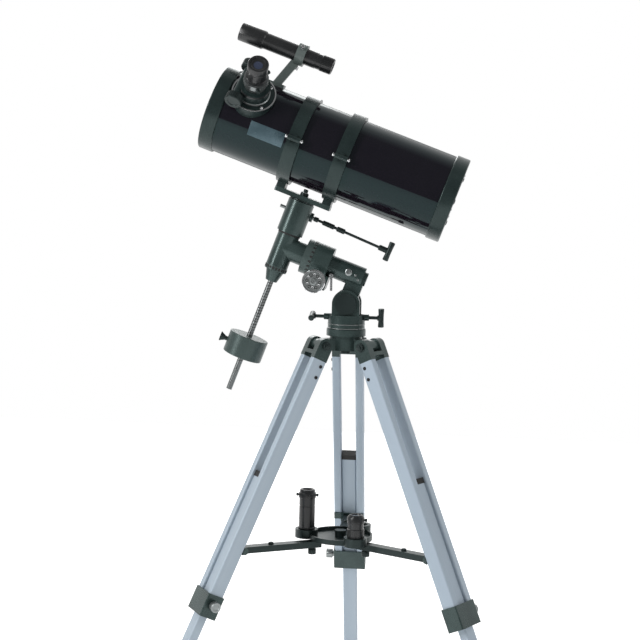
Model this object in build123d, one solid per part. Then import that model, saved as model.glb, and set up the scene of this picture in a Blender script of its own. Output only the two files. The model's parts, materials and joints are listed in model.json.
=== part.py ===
# Short-tube reflecting telescope on an equatorial mount and an aluminium tripod.
# Millimetres. +Z is up, the floor is at z = 0, and the origin is under the middle of the three feet's box.
# The polar axis lies in the XZ plane and climbs towards -X. The rear leg points along +Y.
import math
import os

from build123d import *

# Driving dimensions: clearances
RUNNING = 0.3  # between faces that move past each other
PIN_FIT = 0.2  # on the radius, round pins and shafts

# Driving dimensions: tripod
LEG_ANGLE = 24.5  # lean of a spread leg from upright
LEG_TURNS = (90, 210, 330)  # bearings of the legs, rear leg first
HINGE_RADIUS = 50
LEG_SPAN = 765  # hinge pin to the floor, along a leg
RAIL_WIDTH = 14
RAIL_DEPTH = 26
RAIL_WALL = 1.6
RAIL_ROUND = 3
RAIL_GAP = 27.4
RAIL_TOP = 26  # below the hinge pin
RAIL_BOTTOM = 493  # below the hinge pin
LUG_WIDTH = 24
LUG_RADIUS = 10
HINGE_BOLT_RADIUS = 4
BOLT_HEAD_RADIUS = 6.8
BOLT_HEAD_THICK = 4
CHEEK_NOTCH = 6  # height of the opening between the rails, under the casting
PLUG_LENGTH = 30
CLAMP_HEIGHT = 40
CLAMP_WALL = 2.4
CLAMP_FLOOR = 6
LOWER_DEPTH = 16.5
LOWER_WALL = 1.4
LOWER_TOP = 250  # below the hinge pin
GLIDE_HEIGHT = 10
FOOT_RADIUS = 17
FOOT_HEIGHT = 40
LOCK_RISE = 17  # lock screw above the rails' lower ends
LOCK_STEM_RADIUS = 3
LOCK_KNOB_RADIUS = 8.7
LOCK_KNOB_LENGTH = 15
BRACE_DROP = 374  # brace pin below the hinge pin
BRACE_PIN_CLEAR = 8.75  # inwards of the rails' inner faces
BRACE_WIDTH = 18
BRACE_THICK = 11
BRACE_PIN_RADIUS = 3
BRACE_EAR_THICK = 5
BRACE_EAR_MARGIN = 1  # round the brace's end
BRACE_STRAP_THICK = 2.5  # of the strip across the rails
BRACE_END_RADIUS = 40  # from the tripod's axis to the brace's inner end

# Driving dimensions: tripod head and tray
HEAD_RADIUS = 34
HEAD_TOP_THICK = 12
HEAD_BODY_RADIUS = 28
CENTRE_BOLT_RADIUS = 5
CENTRE_BOLT_HEAD = 9
TRAY_RADIUS = 56
TRAY_THICK = 3
TRAY_RIM = 9
TRAY_HUB_RADIUS = 10
CUP_ORBIT = 60
CUP_RADIUS = 20
CUP_HEIGHT = 15
CUP_TURNS = (60, 180, 300)
BARREL_RADIUS = 13.4  # eyepiece barrels in the tray
BARREL_SHOULDER = 1.5
LENS_TUBE_HEIGHT = 70
TRAY_EYEPIECE_HEIGHT = 40

# Driving dimensions: azimuth base and latitude fork
PIVOT_RISE = 71  # latitude pin above the leg hinge pins
BASE_RADIUS = 32
BASE_TOP = 20  # base disc top, below the latitude pin
BASE_BOTTOM = 44  # base disc underside, below the latitude pin
FORK_HALF = 23
FORK_RADIUS = 24
FORK_SLOT_DEPTH = 27  # below the latitude pin
LATITUDE_PIN_RADIUS = 6
LATITUDE_DISC_RADIUS = 18.5
LATITUDE_DISC_THICK = 4
TSCREW_DROP = 24  # below the latitude pin
TSCREW_RADIUS = 3
TSCREW_BOSS_RADIUS = 5
TSCREW_BOSS_LENGTH = 15
TSCREW_REACH = 21  # from the boss's end to the handle's middle
TSCREW_INSIDE = 3  # of the screw, inwards of the fork's edge
TSCREW_HUB_RADIUS = 4.8
TSCREW_HUB_LENGTH = 6
TSCREW_BAR_HALF = 16.5
TSCREW_BAR_RADIUS = 5.2
TSCREW_FRONT_TURN = 80  # of the handles' bars, in degrees from upright
TSCREW_REAR_TURN = 0

# Driving dimensions: polar (right ascension) axis, along the mount's own x
LATITUDE = 20
PIVOT_ALONG = 137  # latitude pin from the declination axis
PIVOT_BELOW = 49.7  # latitude pin below the polar axis
LUG_HALF = 14
LUG_ROUND = 15
RA_SHAFT_RADIUS = 8
NECK_RADIUS = 19.8
CIRCLE_START = 38.3
CIRCLE_WIDTH = 16.6
CIRCLE_RADIUS = 30.2
CIRCLE_GAP = 0.4  # between the setting circle and the barrel
BARREL_LENGTH = 30.3
BARREL_WALL = 3.075  # outside the worm wheel's room
SLEEVE_RADIUS = 18.6
SLEEVE_LENGTH = 61.9
SLEEVE_CAP_RADIUS = 12
SLEEVE_CAP_LENGTH = 6.5
SLEEVE_FLOOR = 2  # of the shaft's bore, before the sleeve's end
SHAFT_END_GAP = 1  # before the bore's floor
SHAFT_CROSSING = 2  # between the two shafts where they cross
WHEEL_INSET = 17.7  # worm wheel's middle behind the barrel's front
WHEEL_TEETH = 34
TOOTH_MODULE = 1.5
TOOTH_TIP = 0.75  # of the module, outside the pitch circle
TOOTH_ROOT = 1.2  # of the module, inside the pitch circle
THREAD_ROOT = 1  # of the module, inside the worm's pitch circle
TOOTH_FOOT = 0.27  # of the pitch, half a tooth's width at its foot
TOOTH_CREST = 0.11  # of the pitch, half a tooth's width at its tip
THREAD_FOOT = 0.2  # of the pitch, half the thread's width at its foot
THREAD_CREST = 0.1  # of the pitch, half the thread's width at its tip
TOOTH_SINK = 1  # of a tooth's foot in its wheel
THREAD_SINK = 0.3  # of the thread's foot in its core
WHEEL_WIDTH = 6
WHEEL_ROOM = 1  # round a wheel's tips
WHEEL_SIDE_ROOM = 2
WORM_TURNS = 4
DEC_WORM_TURNS = 2
WORM_RADIUS = 5.5
WORM_SHAFT_RADIUS = 3.5
WORM_SHAFT_FAR = 8  # past the worm box
WORM_END_ROOM = 1
WORM_BOX_HALF = 24
WORM_BOX_FRONT = 11
WORM_BOX_REAR = 20
WORM_BOX_TOP = 18
WORM_BOX_WALL = 5
LEVER_INSET = 10.4  # behind the barrel
LEVER_BELOW = 14
LEVER_STUD_RADIUS = 4
LEVER_STUD_START = 6
LEVER_STUD_END = 24
LEVER_RADIUS = 2
LEVER_LENGTH = 24
LEVER_SLANT = 9
RA_KNOB_RADIUS = 19.8
RA_KNOB_THICK = 11
RA_KNOB_CHAMFER = 1.2
RA_KNOB_HUB_RADIUS = 7
RA_KNOB_HUB = 21  # from the worm box to the knob

# Driving dimensions: declination axis, along the mount's own z
DEC_HOUSING_RADIUS = 19.3
DEC_HOUSING_BOTTOM = 43
DEC_HOUSING_TOP = 26.5
DEC_HEAD_RADIUS = 23
DEC_HEAD_HEIGHT = 57.5
DEC_SHAFT_RADIUS = 8
DEC_WHEEL_TEETH = 16
DEC_WORM_RADIUS = 4.6
DEC_WORM_RISE = 37.5  # above the declination housing
DEC_WORM_SHAFT_RADIUS = 3
DEC_WORM_BOSS_WALL = 2.5
DEC_WORM_BOSS_REACH = 4  # outside the drum
DEC_WORM_ROOM = 0.5
DEC_WORM_END = 5  # of its shaft, past the cable's start
FLANGE_RADIUS = 16  # of the declination shaft, under the saddle plate
SADDLE_STUD_RADIUS = 4
SADDLE_NUT_RADIUS = 6.4
SADDLE_NUT_HEIGHT = 6
COLLAR_TOP_RADIUS = 16
COLLAR_BOTTOM_RADIUS = 10.2
COLLAR_LENGTH = 19.7
ROD_RADIUS = 5
ROD_BOTTOM = 267
WEIGHT_TOP = 166.8
WEIGHT_HEIGHT = 38
WEIGHT_RADIUS = 34.5
WEIGHT_ROUND = 1.5
WEIGHT_SCREW_RADIUS = 3
WEIGHT_KNOB_RADIUS = 8.5
WEIGHT_KNOB_LENGTH = 13
CABLE_GAP = 2  # between the worm's boss and the slow-motion rod
CABLE_LENGTH = 123
CABLE_DROOP = 2  # degrees
CABLE_RADIUS = 2.4
CABLE_SLEEVE_RADIUS = 4.4
CABLE_SLEEVES = ((0, 8), (17, 38), (44, 58))  # start and end of each thicker stretch
HANDLE_HUB_RADIUS = 5
HANDLE_HUB_LENGTH = 15
HANDLE_BAR_SINK = 1  # of the bar in its hub
HANDLE_BAR_HALF = 17
HANDLE_BAR_RADIUS = 4.7

# Driving dimensions: saddle, rings and tube
PLATE_RISE = 3  # above the declination drum
PLATE_THICK = 8
PLATE_END = 8.5  # past the rings' middles
PLATE_HALF_WIDTH = 17
PLATE_ROUND = 3
TUBE_RADIUS = 72
TUBE_WALL = 1.2
TUBE_FRONT = 198  # ahead of the declination axis
TUBE_REAR = 240
RING_OFFSET = 42.3
RING_WIDTH = 23
RING_THICK = 6
RING_FOOT_HEIGHT = 7.9  # between the saddle plate and a ring
RING_HINGE_RADIUS = 4.5
RING_HINGE_SINK = 1  # of the knuckles in the ring
RING_WEB = 3  # of the knuckles, past their round
RING_PIN_RADIUS = 2
RING_PIN_END = 3  # past the ring's sides
RING_EAR_LENGTH = 15
RING_EAR_THICK = 6
RING_SCREW_RADIUS = 2.5
RING_SCREW_ROOM = 0.4
RING_KNOB_RADIUS = 7.5
RING_KNOB_LENGTH = 13
FRONT_RING_LENGTH = 25
FRONT_RING_PROUD = 2.6
FRONT_RING_ROUND = 2
FRONT_LIP = 4  # inwards of the tube's outside
REAR_CELL_LENGTH = 24.5
REAR_CELL_PROUD = 3
REAR_CELL_ROUND = 2.4
CELL_PLATE_THICK = 4
MIRROR_RADIUS = 57
MIRROR_THICK = 15
MIRROR_SAG = 3
MIRROR_CURVE = 570  # radius of the dished face
MIRROR_POSTS = 3
MIRROR_POST_RADIUS = 5
MIRROR_POST_ORBIT = 39.9
MIRROR_GAP = 22  # mirror's back ahead of the cell plate
SPIDER_HOLDER = 19  # length of the small mirror's holder
SPIDER_VANES = 4
SPIDER_VANE = 1.2
SPIDER_SINK = 2  # of a vane in the holder
SPIDER_WIDTH = 12
SECONDARY_RADIUS = 16
SECONDARY_LENGTH = 18  # of the small mirror's stalk, ahead of its slanted face's middle

# Driving dimensions: focuser, eyepiece and finder
FOCUSER_AT = -135
FOCUSER_ROLL = 55  # from straight up, towards -Y
FOCUSER_FLANGE_RADIUS = 38
FOCUSER_FLANGE_RISE = 8  # above the tube
FOCUSER_BODY_RADIUS = 26
FOCUSER_BODY_HEIGHT = 24
DRAWTUBE_RADIUS = 18
DRAWTUBE_WALL = 1.7
DRAWTUBE_INSIDE = 6  # of the drawtube, inwards of the tube's outside
DRAWTUBE_OUT = 20  # past the focuser's body
DRAWTUBE_HOLE = 1  # room round the drawtube in the tube's wall
DRAWTUBE_LIP = 3
DRAWTUBE_LIP_LENGTH = 10
EYEPIECE_FIT = 0.4
EYEPIECE_BARREL_LENGTH = 22
EYEPIECE_RADIUS = 17.5
EYEPIECE_LENGTH = 38
PINION_RADIUS = 4
PINION_HALF = 10
PINION_ROOM = 2  # at each end of the pinion
PINION_HOUSING_RADIUS = 8
PINION_HOUSING_GAP = 2  # before the knobs
PINION_SHAFT_RADIUS = 2
FOCUS_KNOB_RADIUS = 15
FOCUS_KNOB_LENGTH = 14
FOCUS_KNOB_CHAMFER = 1
FOCUS_KNOB_AT = 30
FOCUS_KNOB_CLEAR = 1  # between the knobs and the flange
FINDER_RISE = 64  # finder's axis above the tube
FINDER_RADIUS = 14
FINDER_CELL_PROUD = 2
FINDER_CELL_LENGTH = 45
FINDER_CHAMFER = 0.8
FINDER_REAR = -34
FINDER_LENGTH = 170
FINDER_FOOT_AT = -115
FINDER_RING_AT = -92
FINDER_RING_WIDTH = 16
FINDER_RING_THICK = 5
FINDER_FOOT_HALF_LENGTH = 16
FINDER_FOOT_HALF_WIDTH = 12
FINDER_FOOT_RISE = 5
FINDER_STEM = 15
FINDER_STEM_THICK = 7.5

# Places worked out from the driving dimensions
LOWER_WIDTH = RAIL_GAP - 2 * RUNNING - PIN_FIT
LEG_HALF = RAIL_GAP / 2 + RAIL_WIDTH
RAIL_MIDDLE = (RAIL_GAP + RAIL_WIDTH) / 2
CHEEK_RADIUS = RAIL_DEPTH / 2
BRACE_PIN_INSET = RAIL_DEPTH / 2 + BRACE_PIN_CLEAR  # inwards of the leg's middle
CLAMP_HALF = LEG_HALF + CLAMP_WALL
LOCK_DROP = RAIL_BOTTOM - LOCK_RISE
HINGE_HEIGHT = LEG_SPAN * math.cos(math.radians(LEG_ANGLE))
PIVOT_HEIGHT = HINGE_HEIGHT + PIVOT_RISE
HEAD_TOP = PIVOT_HEIGHT - BASE_BOTTOM
HEAD_BOTTOM = HINGE_HEIGHT - LUG_RADIUS
FORK_SLOT_HALF = LUG_HALF + RUNNING
TSCREW_BOSS_END = FORK_RADIUS + TSCREW_BOSS_LENGTH
TSCREW_BAR_AT = TSCREW_BOSS_END + TSCREW_REACH
CIRCLE_END = CIRCLE_START + CIRCLE_WIDTH
BARREL_START = CIRCLE_END + CIRCLE_GAP
BARREL_END = BARREL_START + BARREL_LENGTH
SLEEVE_END = BARREL_END + SLEEVE_LENGTH
SLEEVE_CAP_END = SLEEVE_END + SLEEVE_CAP_LENGTH
SHAFT_BORE_END = SLEEVE_END - SLEEVE_FLOOR
WORM_AT = BARREL_START + WHEEL_INSET
LEVER_AT = BARREL_END + LEVER_INSET
RA_KNOB_FRONT = WORM_BOX_HALF + RA_KNOB_HUB + RA_KNOB_THICK
DEC_HEAD_TOP = DEC_HOUSING_TOP + DEC_HEAD_HEIGHT
DEC_WORM_HEIGHT = DEC_HOUSING_TOP + DEC_WORM_RISE
COLLAR_BOTTOM = DEC_HOUSING_BOTTOM + COLLAR_LENGTH
CABLE_START = DEC_HEAD_RADIUS + DEC_WORM_BOSS_REACH + CABLE_GAP
PLATE_BOTTOM = DEC_HEAD_TOP + PLATE_RISE
PLATE_TOP = PLATE_BOTTOM + PLATE_THICK
PLATE_HALF_LENGTH = RING_OFFSET + PLATE_END
RING_RADIUS = TUBE_RADIUS + RUNNING
RING_OUTER = RING_RADIUS + RING_THICK
TUBE_HEIGHT = PLATE_TOP + RING_FOOT_HEIGHT + RING_OUTER  # tube's axis above the polar axis
RING_HINGE_OUT = RING_OUTER + RING_HINGE_RADIUS - RING_HINGE_SINK  # from the tube's axis to the hinge pin
RING_EAR_OUT = RING_OUTER + RING_EAR_LENGTH / 2  # clamp screw from the tube's axis, on the far side
WHEEL_RADIUS = WHEEL_TEETH * TOOTH_MODULE / 2
DEC_WHEEL_RADIUS = DEC_WHEEL_TEETH * TOOTH_MODULE / 2
WHEEL_TIP = WHEEL_RADIUS + TOOTH_TIP * TOOTH_MODULE
DEC_WHEEL_TIP = DEC_WHEEL_RADIUS + TOOTH_TIP * TOOTH_MODULE
WORM_TIP = WORM_RADIUS + TOOTH_TIP * TOOTH_MODULE
DEC_WORM_TIP = DEC_WORM_RADIUS + TOOTH_TIP * TOOTH_MODULE
WORM_PITCH = math.pi * TOOTH_MODULE
RA_BARREL_RADIUS = WHEEL_TIP + WHEEL_ROOM + BARREL_WALL
WORM_BELOW = WHEEL_RADIUS + WORM_RADIUS
DEC_WORM_ASIDE = DEC_WHEEL_RADIUS + DEC_WORM_RADIUS
SPIDER_AT = FOCUSER_AT - SECONDARY_LENGTH - SPIDER_HOLDER
FOCUSER_FLANGE_TOP = TUBE_RADIUS + FOCUSER_FLANGE_RISE
FOCUSER_BODY_TOP = FOCUSER_FLANGE_TOP + FOCUSER_BODY_HEIGHT
DRAWTUBE_BOTTOM = TUBE_RADIUS - DRAWTUBE_INSIDE
DRAWTUBE_TOP = FOCUSER_BODY_TOP + DRAWTUBE_OUT
EYEPIECE_BARREL_RADIUS = DRAWTUBE_RADIUS - DRAWTUBE_WALL - EYEPIECE_FIT
EYEPIECE_TOP = DRAWTUBE_TOP + EYEPIECE_LENGTH
PINION_ASIDE = -DRAWTUBE_RADIUS - PINION_RADIUS - RUNNING
PINION_HEIGHT = FOCUSER_FLANGE_TOP + FOCUS_KNOB_RADIUS + FOCUS_KNOB_CLEAR
FINDER_AXIS = TUBE_HEIGHT + TUBE_RADIUS + FINDER_RISE
UPWARDS = (Align.CENTER, Align.CENTER, Align.MIN)

slope = math.radians(LATITUDE)
polar_down = Vector(math.cos(slope), 0, -math.sin(slope))
dec_up = Vector(math.sin(slope), 0, math.cos(slope))
pivot_point = Vector(0, 0, PIVOT_HEIGHT)
crossing = pivot_point + dec_up * PIVOT_BELOW - polar_down * PIVOT_ALONG
# The mount's own frame: x runs down the polar axis, z up the declination axis
MOUNT = Plane(origin=crossing, x_dir=polar_down, z_dir=dec_up)
roll = math.radians(FOCUSER_ROLL)
# The focuser's own frame, in the mount's frame: z runs out of the tube, x along the tube
FOCUSER = Plane(
    origin=(FOCUSER_AT, 0, TUBE_HEIGHT), x_dir=(1, 0, 0), z_dir=(0, -math.sin(roll), math.cos(roll))
)
lean = math.radians(LEG_ANGLE)


def leg_plane(turn):
    """A leg's own frame: x along its hinge pin, y inwards and z up the leg, from the hinge pin's middle."""
    bearing = math.radians(turn)
    out = Vector(math.cos(bearing), math.sin(bearing), 0)
    hinge = out * HINGE_RADIUS + Vector(0, 0, HINGE_HEIGHT)
    up_leg = Vector(0, 0, math.cos(lean)) - out * math.sin(lean)
    return Plane(origin=hinge, x_dir=(-math.sin(bearing), math.cos(bearing), 0), z_dir=up_leg)


def along(x):
    """A point on the x axis."""
    return (x, 0, 0)


def up(z):
    """A point on the z axis."""
    return (0, 0, z)


def rod(radius, start, end):
    """A round bar between two points."""
    start, end = Vector(*start), Vector(*end)
    return Plane(origin=start, z_dir=end - start) * Cylinder(radius, (end - start).length, align=UPWARDS)


def pipe(outer, inner, start, end):
    """A round tube between two points."""
    return rod(outer, start, end) - rod(inner, start, end)


def block(low, high):
    """A box between two corners."""
    middle = [(a + b) / 2 for a, b in zip(low, high)]
    return Pos(*middle) * Box(*[b - a for a, b in zip(low, high)])


def gear(radius, teeth, width, bore):
    """A toothed wheel about z, centred on z = 0, with straight-sided teeth and room for a worm's thread."""
    pitch = 2 * math.pi * radius / teeth
    root = radius - TOOTH_ROOT * TOOTH_MODULE
    tip = radius + TOOTH_TIP * TOOTH_MODULE
    wheel = Cylinder(root, width) - Cylinder(bore, width)
    half_root = TOOTH_FOOT * pitch
    half_tip = TOOTH_CREST * pitch
    foot = root - TOOTH_SINK
    outline = [(foot, -half_root), (tip, -half_tip), (tip, half_tip), (foot, half_root)]
    tooth = Pos(0, 0, -width / 2) * extrude(make_face(Polyline(*outline, close=True)), width)
    return wheel + [Rot(0, 0, 360 * n / teeth) * tooth for n in range(teeth)]


def worm(radius, pitch, turns):
    """A screw thread about z, centred on z = 0, on its own core."""
    root = radius - THREAD_ROOT * TOOTH_MODULE
    tip = radius + TOOTH_TIP * TOOTH_MODULE
    length = turns * pitch
    path = Helix(pitch=pitch, height=length, radius=root - THREAD_SINK)
    half_root = THREAD_FOOT * pitch
    half_tip = THREAD_CREST * pitch
    crest = tip - root + THREAD_SINK
    outline = Polyline((0, -half_root), (crest, -half_tip), (crest, half_tip), (0, half_root), close=True)
    section = Plane(origin=path @ 0, x_dir=(1, 0, 0), z_dir=path % 0) * make_face(outline)
    thread = Pos(0, 0, -length / 2) * sweep(section, path=path, is_frenet=True)
    return Cylinder(root, length + 2 * pitch) + thread


# Tripod head
def tripod_head():
    middle = HEAD_TOP - HEAD_TOP_THICK
    head = rod(HEAD_RADIUS, (0, 0, middle), (0, 0, HEAD_TOP - RUNNING))
    head += rod(HEAD_BODY_RADIUS, (0, 0, HEAD_BOTTOM), (0, 0, middle))
    for turn in LEG_TURNS:
        arm = block((-LUG_WIDTH / 2, 0, -LUG_RADIUS), (LUG_WIDTH / 2, HINGE_RADIUS, LUG_RADIUS))
        arm += rod(LUG_RADIUS, (-LUG_WIDTH / 2, 0, 0), (LUG_WIDTH / 2, 0, 0))
        level = leg_plane(turn)
        level = Plane(origin=level.origin, x_dir=level.x_dir, z_dir=(0, 0, 1))
        arm -= rod(HINGE_BOLT_RADIUS, (-LUG_WIDTH, 0, 0), (LUG_WIDTH, 0, 0))
        head += level * arm
    return head - rod(CENTRE_BOLT_RADIUS, (0, 0, 0), (0, 0, PIVOT_HEIGHT))


def tripod_bolts():
    bolts = []
    for turn in LEG_TURNS:
        reach = LEG_HALF + RUNNING
        bolt = rod(HINGE_BOLT_RADIUS, (-reach, 0, 0), (reach, 0, 0))
        for side in (-1, 1):
            bolt += rod(BOLT_HEAD_RADIUS, along(side * reach), along(side * (reach + BOLT_HEAD_THICK)))
        bolts.append(leg_plane(turn) * bolt)
    centre = rod(CENTRE_BOLT_RADIUS, up(HEAD_BOTTOM), up(HEAD_TOP + CENTRE_BOLT_HEAD))
    centre += rod(CENTRE_BOLT_HEAD, up(HEAD_BOTTOM - CENTRE_BOLT_RADIUS), up(HEAD_BOTTOM))
    return bolts + [centre]


# Legs, in each leg's own frame
def rail_bore(gap):
    """The outline of a rail's inside, or of a plug that fills it but for a gap all round."""
    inset = 2 * (RAIL_WALL + gap)
    return RectangleRounded(RAIL_WIDTH - inset, RAIL_DEPTH - inset, RAIL_ROUND - RAIL_WALL)


def leg_rail(side):
    """One aluminium rail, and the lock screw's hole in the rail on the screw's side."""
    outline = RectangleRounded(RAIL_WIDTH, RAIL_DEPTH, RAIL_ROUND) - rail_bore(0)
    rail = Pos(side * RAIL_MIDDLE, 0, -RAIL_BOTTOM) * extrude(outline, RAIL_BOTTOM - RAIL_TOP)
    if side > 0:
        rail -= rod(LOCK_STEM_RADIUS + PIN_FIT, (0, 0, -LOCK_DROP), (CLAMP_HALF, 0, -LOCK_DROP))
    return rail


def leg_bracket():
    """The casting at the top of a leg: cheeks round the head's lug, a cap on the rails and a plug in each."""
    inner = LUG_WIDTH / 2 + RUNNING
    cap_top = -CHEEK_RADIUS - RUNNING
    bracket = block((-LEG_HALF, -CHEEK_RADIUS, -RAIL_TOP), (LEG_HALF, CHEEK_RADIUS, cap_top))
    for side in (-1, 1):
        low, high = sorted((side * inner, side * LEG_HALF))
        bracket += rod(CHEEK_RADIUS, (low, 0, 0), (high, 0, 0))
        bracket += block((low, -CHEEK_RADIUS, -RAIL_TOP), (high, CHEEK_RADIUS, 0))
        plug = extrude(rail_bore(PIN_FIT), PLUG_LENGTH)
        bracket += Pos(side * RAIL_MIDDLE, 0, -RAIL_TOP - PLUG_LENGTH) * plug
    notch = RAIL_GAP / 2
    bracket -= block((-notch, -RAIL_DEPTH, -RAIL_TOP), (notch, RAIL_DEPTH, -RAIL_TOP + CHEEK_NOTCH))
    return bracket - rod(HINGE_BOLT_RADIUS + PIN_FIT, (-LEG_HALF, 0, 0), (LEG_HALF, 0, 0))


def leg_clamp():
    """The collar at the rails' lower end that guides and grips the lower leg."""
    half_depth = RAIL_DEPTH / 2 + CLAMP_WALL
    low = -RAIL_BOTTOM - CLAMP_FLOOR
    clamp = block((-CLAMP_HALF, -half_depth, low), (CLAMP_HALF, half_depth, low + CLAMP_HEIGHT))
    clamp = fillet(clamp.edges().filter_by(Axis.Z), CLAMP_WALL)
    clamp -= block((-LEG_HALF, -RAIL_DEPTH / 2, -RAIL_BOTTOM), (LEG_HALF, RAIL_DEPTH / 2, 0))
    guide_x, guide_y = LOWER_WIDTH / 2 + RUNNING, LOWER_DEPTH / 2 + RUNNING
    clamp -= block((-guide_x, -guide_y, low), (guide_x, guide_y, 0))
    return clamp - rod(LOCK_STEM_RADIUS + PIN_FIT, (0, 0, -LOCK_DROP), (2 * CLAMP_HALF, 0, -LOCK_DROP))


def brace_bracket():
    """The cross piece on the rails' inner faces, with two ears round the brace."""
    inner = BRACE_WIDTH / 2 + RUNNING
    face = RAIL_DEPTH / 2
    half = BRACE_THICK / 2 + BRACE_EAR_MARGIN
    strap = face + BRACE_STRAP_THICK
    bracket = block((-LEG_HALF, face, -BRACE_DROP - half), (LEG_HALF, strap, -BRACE_DROP + half))
    for side in (-1, 1):
        low, high = sorted((side * inner, side * (inner + BRACE_EAR_THICK)))
        bracket += block((low, face, -BRACE_DROP - half), (high, BRACE_PIN_INSET, -BRACE_DROP + half))
        bracket += rod(half, (low, BRACE_PIN_INSET, -BRACE_DROP), (high, BRACE_PIN_INSET, -BRACE_DROP))
    reach = inner + BRACE_EAR_THICK
    pin = rod(BRACE_PIN_RADIUS, (-reach, BRACE_PIN_INSET, -BRACE_DROP), (reach, BRACE_PIN_INSET, -BRACE_DROP))
    return bracket + pin


def brace():
    """A bar from a leg's brace pin to the tray, level in the spread tripod, in the leg's own frame."""
    pin_radius = HINGE_RADIUS + BRACE_DROP * math.sin(lean) - BRACE_PIN_INSET * math.cos(lean)
    length = pin_radius - BRACE_END_RADIUS
    half = BRACE_THICK / 2
    bar = block((-BRACE_WIDTH / 2, 0, -half), (BRACE_WIDTH / 2, length, half))
    bar += rod(half, (-BRACE_WIDTH / 2, 0, 0), (BRACE_WIDTH / 2, 0, 0))
    bar -= rod(BRACE_PIN_RADIUS + PIN_FIT, (-BRACE_WIDTH, 0, 0), (BRACE_WIDTH, 0, 0))
    return Pos(0, BRACE_PIN_INSET, -BRACE_DROP) * Rot(LEG_ANGLE, 0, 0) * bar


def lower_leg():
    outline = RectangleRounded(LOWER_WIDTH, LOWER_DEPTH, RAIL_ROUND)
    walls = 2 * LOWER_WALL
    outline -= RectangleRounded(LOWER_WIDTH - walls, LOWER_DEPTH - walls, RAIL_ROUND - LOWER_WALL)
    bottom = LEG_SPAN - FOOT_HEIGHT / 2
    return Pos(0, 0, -bottom) * extrude(outline, bottom - LOWER_TOP)


def leg_glide():
    """The plastic cap on the lower leg's top end, which runs between the rails."""
    half_x, half_y = LOWER_WIDTH / 2, LOWER_DEPTH / 2
    cap = block((-half_x, -half_y, -LOWER_TOP), (half_x, half_y, -LOWER_TOP + GLIDE_HEIGHT))
    shrink = 2 * (LOWER_WALL + PIN_FIT)
    plug = RectangleRounded(LOWER_WIDTH - shrink, LOWER_DEPTH - shrink, RAIL_ROUND - LOWER_WALL)
    return cap + Pos(0, 0, -LOWER_TOP - GLIDE_HEIGHT) * extrude(plug, GLIDE_HEIGHT)


def leg_foot(plane):
    """The rubber foot, cut flat on the floor, in the object's frame."""
    foot = rod(FOOT_RADIUS, (0, 0, -LEG_SPAN - FOOT_HEIGHT), (0, 0, -LEG_SPAN + FOOT_HEIGHT))
    bottom = LEG_SPAN - FOOT_HEIGHT / 2
    foot -= block((-LOWER_WIDTH / 2, -LOWER_DEPTH / 2, -bottom), (LOWER_WIDTH / 2, LOWER_DEPTH / 2, 0))
    floor_cut = Box(4 * LEG_SPAN, 4 * LEG_SPAN, LEG_SPAN, align=(Align.CENTER, Align.CENTER, Align.MAX))
    return plane * foot - floor_cut


def lock_screw():
    start = LOWER_WIDTH / 2 + RUNNING
    screw = rod(LOCK_STEM_RADIUS, (start, 0, -LOCK_DROP), (CLAMP_HALF + RUNNING, 0, -LOCK_DROP))
    knob_start = CLAMP_HALF + RUNNING
    knob = rod(LOCK_KNOB_RADIUS, (knob_start, 0, -LOCK_DROP), (knob_start + LOCK_KNOB_LENGTH, 0, -LOCK_DROP))
    return screw + knob


# Accessory tray
def brace_end_height():
    """Height of a brace's middle line: level with its pin."""
    return HINGE_HEIGHT - BRACE_DROP * math.cos(lean) - BRACE_PIN_INSET * math.sin(lean)


TRAY_FLOOR = brace_end_height() + BRACE_THICK / 2 + RUNNING


def accessory_tray():
    tray = rod(TRAY_RADIUS, (0, 0, TRAY_FLOOR), (0, 0, TRAY_FLOOR + TRAY_RIM))
    tray -= rod(TRAY_RADIUS - TRAY_THICK, (0, 0, TRAY_FLOOR + TRAY_THICK), (0, 0, TRAY_FLOOR + 2 * TRAY_RIM))
    cups, holes = [], []
    for turn in CUP_TURNS:
        x = CUP_ORBIT * math.cos(math.radians(turn))
        y = CUP_ORBIT * math.sin(math.radians(turn))
        cups.append(rod(CUP_RADIUS, (x, y, TRAY_FLOOR), (x, y, TRAY_FLOOR + CUP_HEIGHT)))
        holes.append(rod(BARREL_RADIUS + RUNNING, (x, y, 0), (x, y, PIVOT_HEIGHT)))
    tray = tray + cups - holes
    return tray + rod(TRAY_HUB_RADIUS, up(TRAY_FLOOR), up(TRAY_FLOOR + CUP_HEIGHT))


def tray_piece(turn, height):
    """A barrel that stands in one of the tray's cups."""
    x = CUP_ORBIT * math.cos(math.radians(turn))
    y = CUP_ORBIT * math.sin(math.radians(turn))
    seat = TRAY_FLOOR + CUP_HEIGHT
    piece = rod(BARREL_RADIUS, (x, y, TRAY_FLOOR), (x, y, seat))
    return piece + rod(BARREL_RADIUS + BARREL_SHOULDER, (x, y, seat), (x, y, seat + height))


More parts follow.
